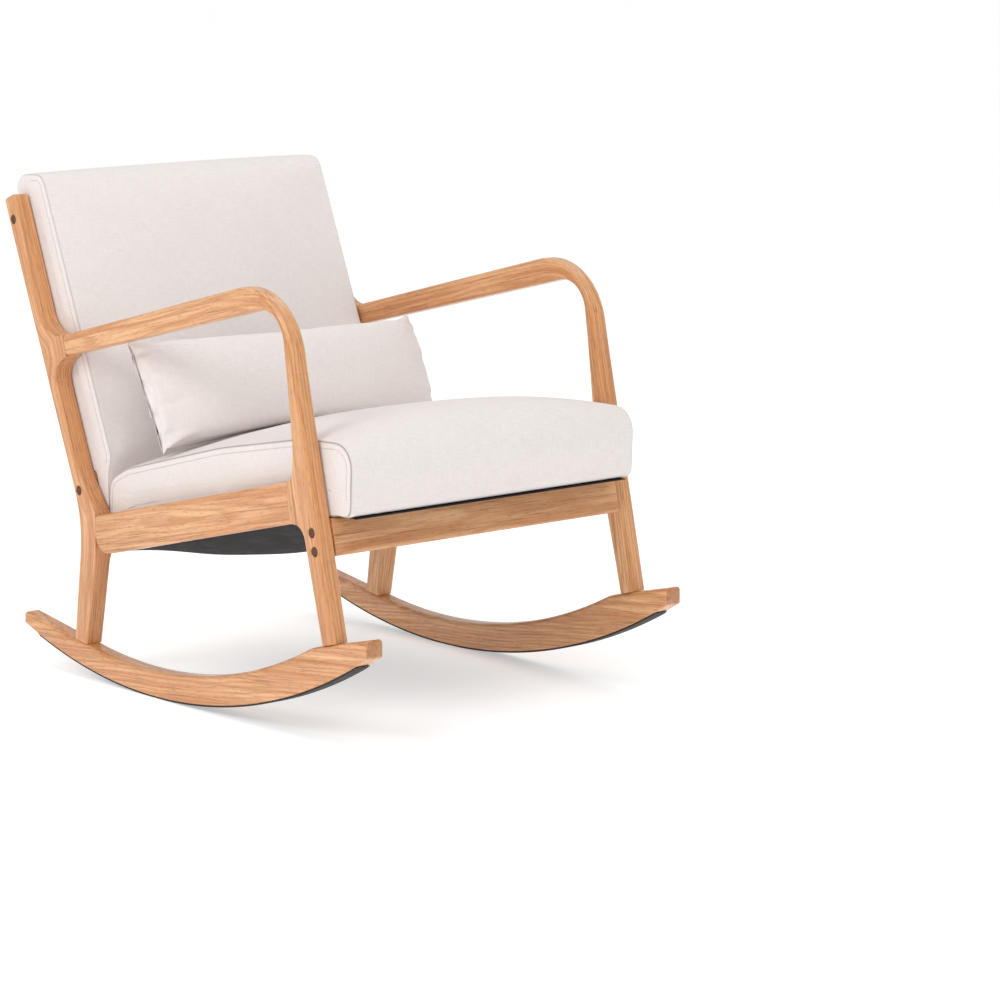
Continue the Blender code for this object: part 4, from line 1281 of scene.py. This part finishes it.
def wood_group():
    """Grain of a lacquered board. The vector runs (along, through, across) the board, in metres.
    Broad tone and streaks are noise stretched along the grain, pores are short stretched spots, and
    rings are a sine of the distance from the tree's heart, which lies outside the board."""
    tree = group_start(
        "Board grain",
        [("Vector", "NodeSocketVector", None), ("Light", "NodeSocketColor", None),
         ("Dark", "NodeSocketColor", None), ("Pore", "NodeSocketColor", None),
         ("Figure", "NodeSocketFloat", 1.0)],
        [("Color", "NodeSocketColor"), ("Roughness", "NodeSocketFloat"), ("Height", "NodeSocketFloat")])
    if tree is None:
        return bpy.data.node_groups["Board grain"]
    n = Nodes(tree)
    given = n.add("NodeGroupInput").outputs
    result = n.add("NodeGroupOutput")
    vector = given["Vector"]
    tone = n.ramp(n.noise(vector, (3.0, 24.0, 24.0), 3.0), 0.30, 0.72)
    parts = n.add("ShaderNodeSeparateXYZ", Vector=vector).outputs
    sway = n.math("MULTIPLY", n.noise(vector, (2.6, 14.0, 14.0), 2.0), 0.030)
    from_heart = n.add("ShaderNodeVectorMath", {"operation": "LENGTH"})
    shifted = n.vector("ADD", vector, (0.0, 0.042, 0.006))
    n.feed(from_heart.inputs[0], n.vector("MULTIPLY", shifted, (0.0, 1.0, 1.0)))
    swayed = n.math("ADD", from_heart.outputs["Value"], sway)
    rings = n.math("ADD", swayed, n.math("MULTIPLY", parts["X"], 0.014))
    ring = n.ramp(n.math("SINE", n.math("MULTIPLY", rings, 2 * math.pi / RING_WIDTH)), -0.3, 1.0)
    streak = n.ramp(n.noise(vector, (4.0, 150.0, 150.0), 4.0, 0.55, 0.3), 0.38, 0.74)
    line = n.ramp(n.noise(vector, (9.0, 520.0, 520.0), 2.0, 0.6), 0.52, 0.74)
    pore = n.ramp(n.noise(vector, (60.0, 1150.0, 1150.0), 1.0), 0.60, 0.70)
    colour = n.mix(n.math("MULTIPLY", tone, 0.50), given["Light"], given["Dark"])
    for mask, share, end in ((streak, 0.88, "Dark"), (ring, 0.48, "Dark"), (line, 0.62, "Pore")):
        strength = n.math("MULTIPLY", given["Figure"], share)
        colour = n.mix(n.math("MULTIPLY", mask, strength, True), colour, given[end])
    colour = n.mix(n.math("MULTIPLY", pore, 0.50), colour, given["Pore"])
    height = n.math("SUBTRACT", n.math("MULTIPLY", line, -0.35), n.math("MULTIPLY", pore, 0.65))
    rough = n.math("ADD", 0.36, n.math("MULTIPLY", n.math("ADD", pore, streak), 0.07))
    n.feed(result.inputs["Color"], colour)
    n.feed(result.inputs["Roughness"], rough)
    n.feed(result.inputs["Height"], height)
    return tree


def weave_group():
    """Plain weave with slubs. The vector is (across, along, 0) on the cloth, in metres. Two rows of
    threads are sines of its parts; their product says which thread is on top. Slubs are noise
    stretched along each thread direction."""
    tree = group_start(
        "Plain weave",
        [("Vector", "NodeSocketVector", None), ("Color", "NodeSocketColor", None),
         ("Pitch", "NodeSocketFloat", 0.0011), ("Slub", "NodeSocketFloat", 1.0)],
        [("Color", "NodeSocketColor"), ("Roughness", "NodeSocketFloat"), ("Height", "NodeSocketFloat")])
    if tree is None:
        return bpy.data.node_groups["Plain weave"]
    n = Nodes(tree)
    given = n.add("NodeGroupInput").outputs
    result = n.add("NodeGroupOutput")
    vector = given["Vector"]
    parts = n.add("ShaderNodeSeparateXYZ", Vector=vector).outputs
    turns = n.math("DIVIDE", math.pi, given["Pitch"])
    warp = n.math("SINE", n.math("MULTIPLY", parts["X"], turns))
    weft = n.math("SINE", n.math("MULTIPLY", parts["Y"], turns))
    product = n.math("MULTIPLY", warp, weft)
    over = n.ramp(product, -0.35, 0.35)
    tops = n.math("ADD", n.math("MULTIPLY", n.math("ABSOLUTE", warp), over),
                  n.math("MULTIPLY", n.math("ABSOLUTE", weft), n.math("SUBTRACT", 1.0, over)))
    slub_a = n.noise(vector, (55.0, 1500.0, 1.0), 2.0)
    slub_b = n.noise(vector, (1500.0, 55.0, 1.0), 2.0)
    slub = n.math("SUBTRACT", n.math("ADD", slub_a, slub_b), 1.0)
    cloud = n.noise(vector, (14.0, 14.0, 14.0), 3.0)
    shade = n.math("ADD", n.math("MULTIPLY", slub, n.math("MULTIPLY", given["Slub"], 0.26)),
                   n.math("MULTIPLY", n.math("SUBTRACT", cloud, 0.5), 0.05))
    # The threads on top are painted 5 per cent lighter: a painted highlight on the crests of the weave.
    shade = n.math("ADD", n.math("ADD", shade, n.math("MULTIPLY", tops, 0.05)), 0.965)
    colour = n.add("ShaderNodeVectorMath", {"operation": "SCALE"}, Scale=shade)
    n.feed(colour.inputs[0], given["Color"])
    n.feed(result.inputs["Color"], colour.outputs[0])
    n.feed(result.inputs["Roughness"], n.math("SUBTRACT", 0.97, n.math("MULTIPLY", tops, 0.10)))
    n.feed(result.inputs["Height"], n.math("ADD", tops, n.math("MULTIPLY", slub, 1.2)))
    return tree


def dust_group():
    """Fine specks and smudges: two sizes of noise made into a mask."""
    tree = group_start(
        "Fine dust", [("Vector", "NodeSocketVector", None), ("Amount", "NodeSocketFloat", 0.3)],
        [("Mask", "NodeSocketFloat")])
    if tree is None:
        return bpy.data.node_groups["Fine dust"]
    n = Nodes(tree)
    given = n.add("NodeGroupInput").outputs
    result = n.add("NodeGroupOutput")
    smudge = n.ramp(n.noise(given["Vector"], (30.0, 30.0, 30.0), 3.0), 0.45, 0.75)
    speck = n.ramp(n.noise(given["Vector"], (900.0, 900.0, 900.0), 1.0), 0.62, 0.72)
    mask = n.math("MULTIPLY", n.math("ADD", smudge, speck, True), given["Amount"])
    n.feed(result.inputs["Mask"], mask)
    return tree


# ---------------------------------------------------------------- materials

def material_start(name):
    """A new material as (nodes helper, shader), or None if it was made before."""
    if name in bpy.data.materials:
        return None
    material = bpy.data.materials.new(name)
    material.use_nodes = True
    return Nodes(material.node_tree), material.node_tree.nodes["Principled BSDF"]


def place_group(n, tree, **inputs):
    """Outputs of a group placed in a material."""
    node = n.add("ShaderNodeGroup", {"node_tree": tree})
    for key, value in inputs.items():
        n.feed(node.inputs[key], value)
    return node.outputs


def bumped(n, shader, height, distance, strength):
    """Lets a height bend the shader's normals."""
    bump = n.add("ShaderNodeBump", Height=height, Distance=distance, Strength=strength)
    n.feed(shader.inputs["Normal"], bump.outputs["Normal"])


def rgba(colour):
    """The colour with an alpha of 1."""
    return (*colour, 1.0)


def wood_material(name, attribute="grain", figure=1.0):
    """Honey-coloured lacquered wood. Boards of the side frames carry their own grain attribute."""
    made = material_start(name)
    if made:
        n, shader = made
        if attribute:
            vector = n.add("ShaderNodeAttribute", {"attribute_name": attribute}).outputs["Vector"]
        else:
            vector = n.add("ShaderNodeTexCoord").outputs["Object"]
        end = n.add("ShaderNodeAttribute", {"attribute_name": "end"}).outputs["Fac"]
        c = colours()
        grain = place_group(
            n, wood_group(), Vector=vector, Light=rgba(c.wood_light), Dark=rgba(c.wood_dark),
            Pore=rgba(c.wood_pore), Figure=figure)
        colour = n.mix(n.math("MULTIPLY", end, 0.45), grain["Color"], rgba(c.wood_pore))
        n.feed(shader.inputs["Base Color"], colour)
        n.feed(shader.inputs["Roughness"], grain["Roughness"])
        shader.inputs["Coat Weight"].default_value = 0.50
        shader.inputs["Coat Roughness"].default_value = 0.18
        bumped(n, shader, grain["Height"], 0.0003, 0.5)
    return bpy.data.materials[name]


def linen_material():
    """Off-white woven cloth with a soft sheen, and painted shade along its seams."""
    made = material_start("off_white_linen")
    if made:
        n, shader = made
        vector = n.add("ShaderNodeAttribute", {"attribute_name": "cloth"}).outputs["Vector"]
        weave = place_group(
            n, weave_group(), Vector=vector, Color=rgba(colours().linen), Pitch=sizes().thread_pitch)
        # The seam attribute darkens the cloth towards brown along the seams: painted shade in the seam grooves.
        seam = n.add("ShaderNodeAttribute", {"attribute_name": "seam"}).outputs["Fac"]
        painted_seam_shade = n.math("MULTIPLY", seam, 0.92)
        n.feed(shader.inputs["Base Color"], n.mix(painted_seam_shade, weave["Color"], rgba(linear(128, 108, 98))))
        n.feed(shader.inputs["Roughness"], weave["Roughness"])
        shader.inputs["Specular IOR Level"].default_value = 0.25
        shader.inputs["Sheen Weight"].default_value = 0.15
        shader.inputs["Sheen Roughness"].default_value = 0.5
        bumped(n, shader, weave["Height"], 0.00025, 0.6)
    return bpy.data.materials["off_white_linen"]


def thread_material():
    """Sewing thread, a little uneven in colour."""
    made = material_start("sewing_thread")
    if made:
        n, shader = made
        vector = n.add("ShaderNodeTexCoord").outputs["Object"]
        fuzz = place_group(n, dust_group(), Vector=vector, Amount=0.5)["Mask"]
        base = rgba(colours().stitch)
        n.feed(shader.inputs["Base Color"], n.mix(fuzz, base, rgba([0.8 * v for v in base[:3]])))
        shader.inputs["Roughness"].default_value = 0.75
    return bpy.data.materials["sewing_thread"]


def black_cloth_material():
    """Black dust cloth with a fine crossed texture."""
    made = material_start("black_dust_cloth")
    if made:
        n, shader = made
        vector = n.add("ShaderNodeAttribute", {"attribute_name": "cloth"}).outputs["Vector"]
        weave = place_group(
            n, weave_group(), Vector=vector, Color=rgba(colours().black_cloth), Pitch=0.0016, Slub=2.4)
        dust = place_group(n, dust_group(), Vector=vector, Amount=0.12)["Mask"]
        n.feed(shader.inputs["Base Color"], n.mix(dust, weave["Color"], rgba(linear(120, 120, 122))))
        n.feed(shader.inputs["Roughness"], weave["Roughness"])
        bumped(n, shader, weave["Height"], 0.0003, 0.6)
    return bpy.data.materials["black_dust_cloth"]


def rubber_material():
    """Dark rubber with some floor dust on it."""
    made = material_start("floor_strip_rubber")
    if made:
        n, shader = made
        vector = n.add("ShaderNodeTexCoord").outputs["Object"]
        dust = place_group(n, dust_group(), Vector=vector, Amount=0.25)["Mask"]
        n.feed(shader.inputs["Base Color"], n.mix(dust, rgba(colours().rubber), rgba(linear(96, 92, 88))))
        n.feed(shader.inputs["Roughness"], n.math("ADD", 0.62, dust))
        bumped(n, shader, n.noise(vector, (700.0, 700.0, 700.0), 2.0), 0.0002, 0.4)
    return bpy.data.materials["floor_strip_rubber"]


def cap_material():
    """Brown caps, mottled by use."""
    made = material_start("cap_brown")
    if made:
        n, shader = made
        vector = n.add("ShaderNodeTexCoord").outputs["Object"]
        mottle = n.ramp(n.noise(vector, (420.0, 420.0, 420.0), 3.0), 0.35, 0.70)
        base = colours().cap
        n.feed(shader.inputs["Base Color"], n.mix(mottle, rgba(base), rgba([0.45 * v for v in base])))
        n.feed(shader.inputs["Roughness"], n.math("ADD", 0.42, n.math("MULTIPLY", mottle, 0.2)))
        bumped(n, shader, mottle, 0.0002, 0.3)
    return bpy.data.materials["cap_brown"]


def steel_material():
    """Zinc-plated steel with a fine brushed roughness."""
    made = material_start("zinc_steel")
    if made:
        n, shader = made
        vector = n.add("ShaderNodeTexCoord").outputs["Object"]
        brush = n.noise(vector, (90.0, 2600.0, 2600.0), 2.0)
        spangle = n.ramp(n.noise(vector, (260.0, 260.0, 260.0), 1.0), 0.35, 0.65)
        n.feed(shader.inputs["Base Color"], n.mix(spangle, rgba((0.52, 0.53, 0.55)), rgba((0.63, 0.63, 0.64))))
        n.feed(shader.inputs["Roughness"], n.math("ADD", 0.24, n.math("MULTIPLY", brush, 0.25)))
        shader.inputs["Metallic"].default_value = 1.0
        bumped(n, shader, brush, 0.0001, 0.3)
    return bpy.data.materials["zinc_steel"]


def webbing_material():
    """Coarse jute webbing."""
    made = material_start("jute_webbing")
    if made:
        n, shader = made
        vector = n.add("ShaderNodeTexCoord").outputs["Object"]
        weave = place_group(
            n, weave_group(), Vector=vector, Color=rgba(linear(196, 168, 126)), Pitch=0.0024, Slub=3.0)
        n.feed(shader.inputs["Base Color"], weave["Color"])
        n.feed(shader.inputs["Roughness"], weave["Roughness"])
        bumped(n, shader, weave["Height"], 0.0006, 0.8)
    return bpy.data.materials["jute_webbing"]


class ARMCHAIR_OT_inner_parts(Operator):
    """Gives the frame's own hidden boards, straps and fasteners their finishes."""
    bl_idname = "armchair.inner_parts"
    bl_label = "Inner parts"

    def execute(self, context):
        finishes = {
            "steel": steel_material(),
            "webbing": webbing_material(),
            "wood": wood_material("plain_inner_wood", attribute=None, figure=0.6),
        }
        slots = {part["node"]: part["material_slot"] for part in frame["record"]["subparts"]}
        for name, node in frame["nodes"].items():
            if slots[name] in finishes:
                node.data.materials.clear()
                node.data.materials.append(finishes[slots[name]])
        return {"FINISHED"}


# ---------------------------------------------------------------- stage

CAMERA_PLACE = (-3.6191, -4.5261, 1.2903)
CAMERA_TURN = (80.0714, 0.0, -41.1348)    # degrees
CAMERA_LENS = 137.455                  # millimetres on a 36 mm sensor
FLOOR_REACH = 70.0
LAMP_TARGET = (0.0, 0.0, 0.4)
LAMPS = (   # name, place, size and power
    ("key", (-3.2, -0.5, 2.9), 1.5, 42),
    ("front", (-0.8, -2.2, 4.4), 2.0, 34),
    ("rim", (2.0, 0.6, 3.6), 1.6, 12),
)


def flat_emitter(name, place, size, power):
    """A square soft light that points at the chair."""
    light = bpy.data.lights.new(name, "AREA")
    light.shape = "SQUARE"
    light.size = size
    light.energy = power
    lamp = bpy.data.objects.new(name, light)
    lamp.location = place
    lamp.rotation_euler = (Vector(LAMP_TARGET) - Vector(place)).to_track_quat("-Z", "Y").to_euler()
    bpy.context.scene.collection.objects.link(lamp)


class ARMCHAIR_OT_stage(Operator):
    """Makes the pale floor, the soft lights and the camera."""
    bl_idname = "armchair.stage"
    bl_label = "Stage"

    def execute(self, context):
        scene = context.scene
        mesh = bpy.data.meshes.new("floor")
        corners = [(x * FLOOR_REACH, y * FLOOR_REACH, 0) for x, y in ((-1, -1), (1, -1), (1, 1), (-1, 1))]
        mesh.from_pydata(corners, [], [(0, 1, 2, 3)])
        floor = bpy.data.objects.new("floor", mesh)
        floor.location.z = -0.0005
        scene.collection.objects.link(floor)
        n, shader = material_start("pale_floor")
        vector = n.add("ShaderNodeTexCoord").outputs["Object"]
        cloud = n.noise(vector, (0.8, 0.8, 0.8), 2.0)
        n.feed(shader.inputs["Base Color"], n.mix(cloud, rgba((0.86, 0.86, 0.86)), rgba((0.89, 0.89, 0.89))))
        shader.inputs["Roughness"].default_value = 0.9
        shader.inputs["Specular IOR Level"].default_value = 0.1
        shader.inputs["Emission Color"].default_value = (1.0, 1.0, 1.0, 1.0)
        shader.inputs["Emission Strength"].default_value = 0.40
        mesh.materials.append(bpy.data.materials["pale_floor"])

        world = bpy.data.worlds.new("studio")
        world.use_nodes = True
        background = world.node_tree.nodes["Background"]
        background.inputs["Color"].default_value = (1.0, 1.0, 1.0, 1.0)
        background.inputs["Strength"].default_value = 0.68
        scene.world = world
        for lamp in LAMPS:
            flat_emitter(*lamp)
        scene.view_settings.view_transform = "Standard"

        lens = bpy.data.cameras.new("camera")
        lens.lens = CAMERA_LENS
        lens.sensor_width = 36.0
        camera = bpy.data.objects.new("camera", lens)
        camera.location = CAMERA_PLACE
        camera.rotation_euler = [math.radians(turn) for turn in CAMERA_TURN]
        scene.collection.objects.link(camera)
        scene.camera = camera
        return {"FINISHED"}


class ARMCHAIR_PT_panel(Panel):
    """Lists the steps that build the armchair, with the sizes and colours they use."""
    bl_label = "Rocking Armchair"
    bl_space_type = "VIEW_3D"
    bl_region_type = "UI"
    bl_category = "Armchair"

    def draw(self, context):
        layout = self.layout
        for group in (context.scene.armchair_sizes, context.scene.armchair_colours):
            box = layout.box()
            for key in group.__annotations__:
                box.prop(group, key)
        for step in STEPS:
            layout.operator(step.bl_idname)


STEPS = (
    ARMCHAIR_OT_stage,
    ARMCHAIR_OT_side_frames,
    ARMCHAIR_OT_cross_rails,
    ARMCHAIR_OT_floor_strips,
    ARMCHAIR_OT_bolt_caps,
    ARMCHAIR_OT_seat,
    ARMCHAIR_OT_back,
    ARMCHAIR_OT_pillow,
    ARMCHAIR_OT_dust_cover,
    ARMCHAIR_OT_inner_parts,
)
CLASSES = (ArmchairSizes, ArmchairColours, *STEPS, ARMCHAIR_PT_panel)


def register():
    """Registers the classes and gives the scene its sizes and colours."""
    for cls in CLASSES:
        bpy.utils.register_class(cls)
    bpy.types.Scene.armchair_sizes = PointerProperty(type=ArmchairSizes)
    bpy.types.Scene.armchair_colours = PointerProperty(type=ArmchairColours)


def unregister():
    """Undoes register."""
    del bpy.types.Scene.armchair_colours
    del bpy.types.Scene.armchair_sizes
    for cls in reversed(CLASSES):
        bpy.utils.unregister_class(cls)


def main():
    """Builds everything in order."""
    register()
    for step in STEPS:
        family, name = step.bl_idname.split(".")
        if getattr(getattr(bpy.ops, family), name)() != {"FINISHED"}:
            raise RuntimeError(f"{step.bl_label} did not finish")


if __name__ == "__main__":
    main()
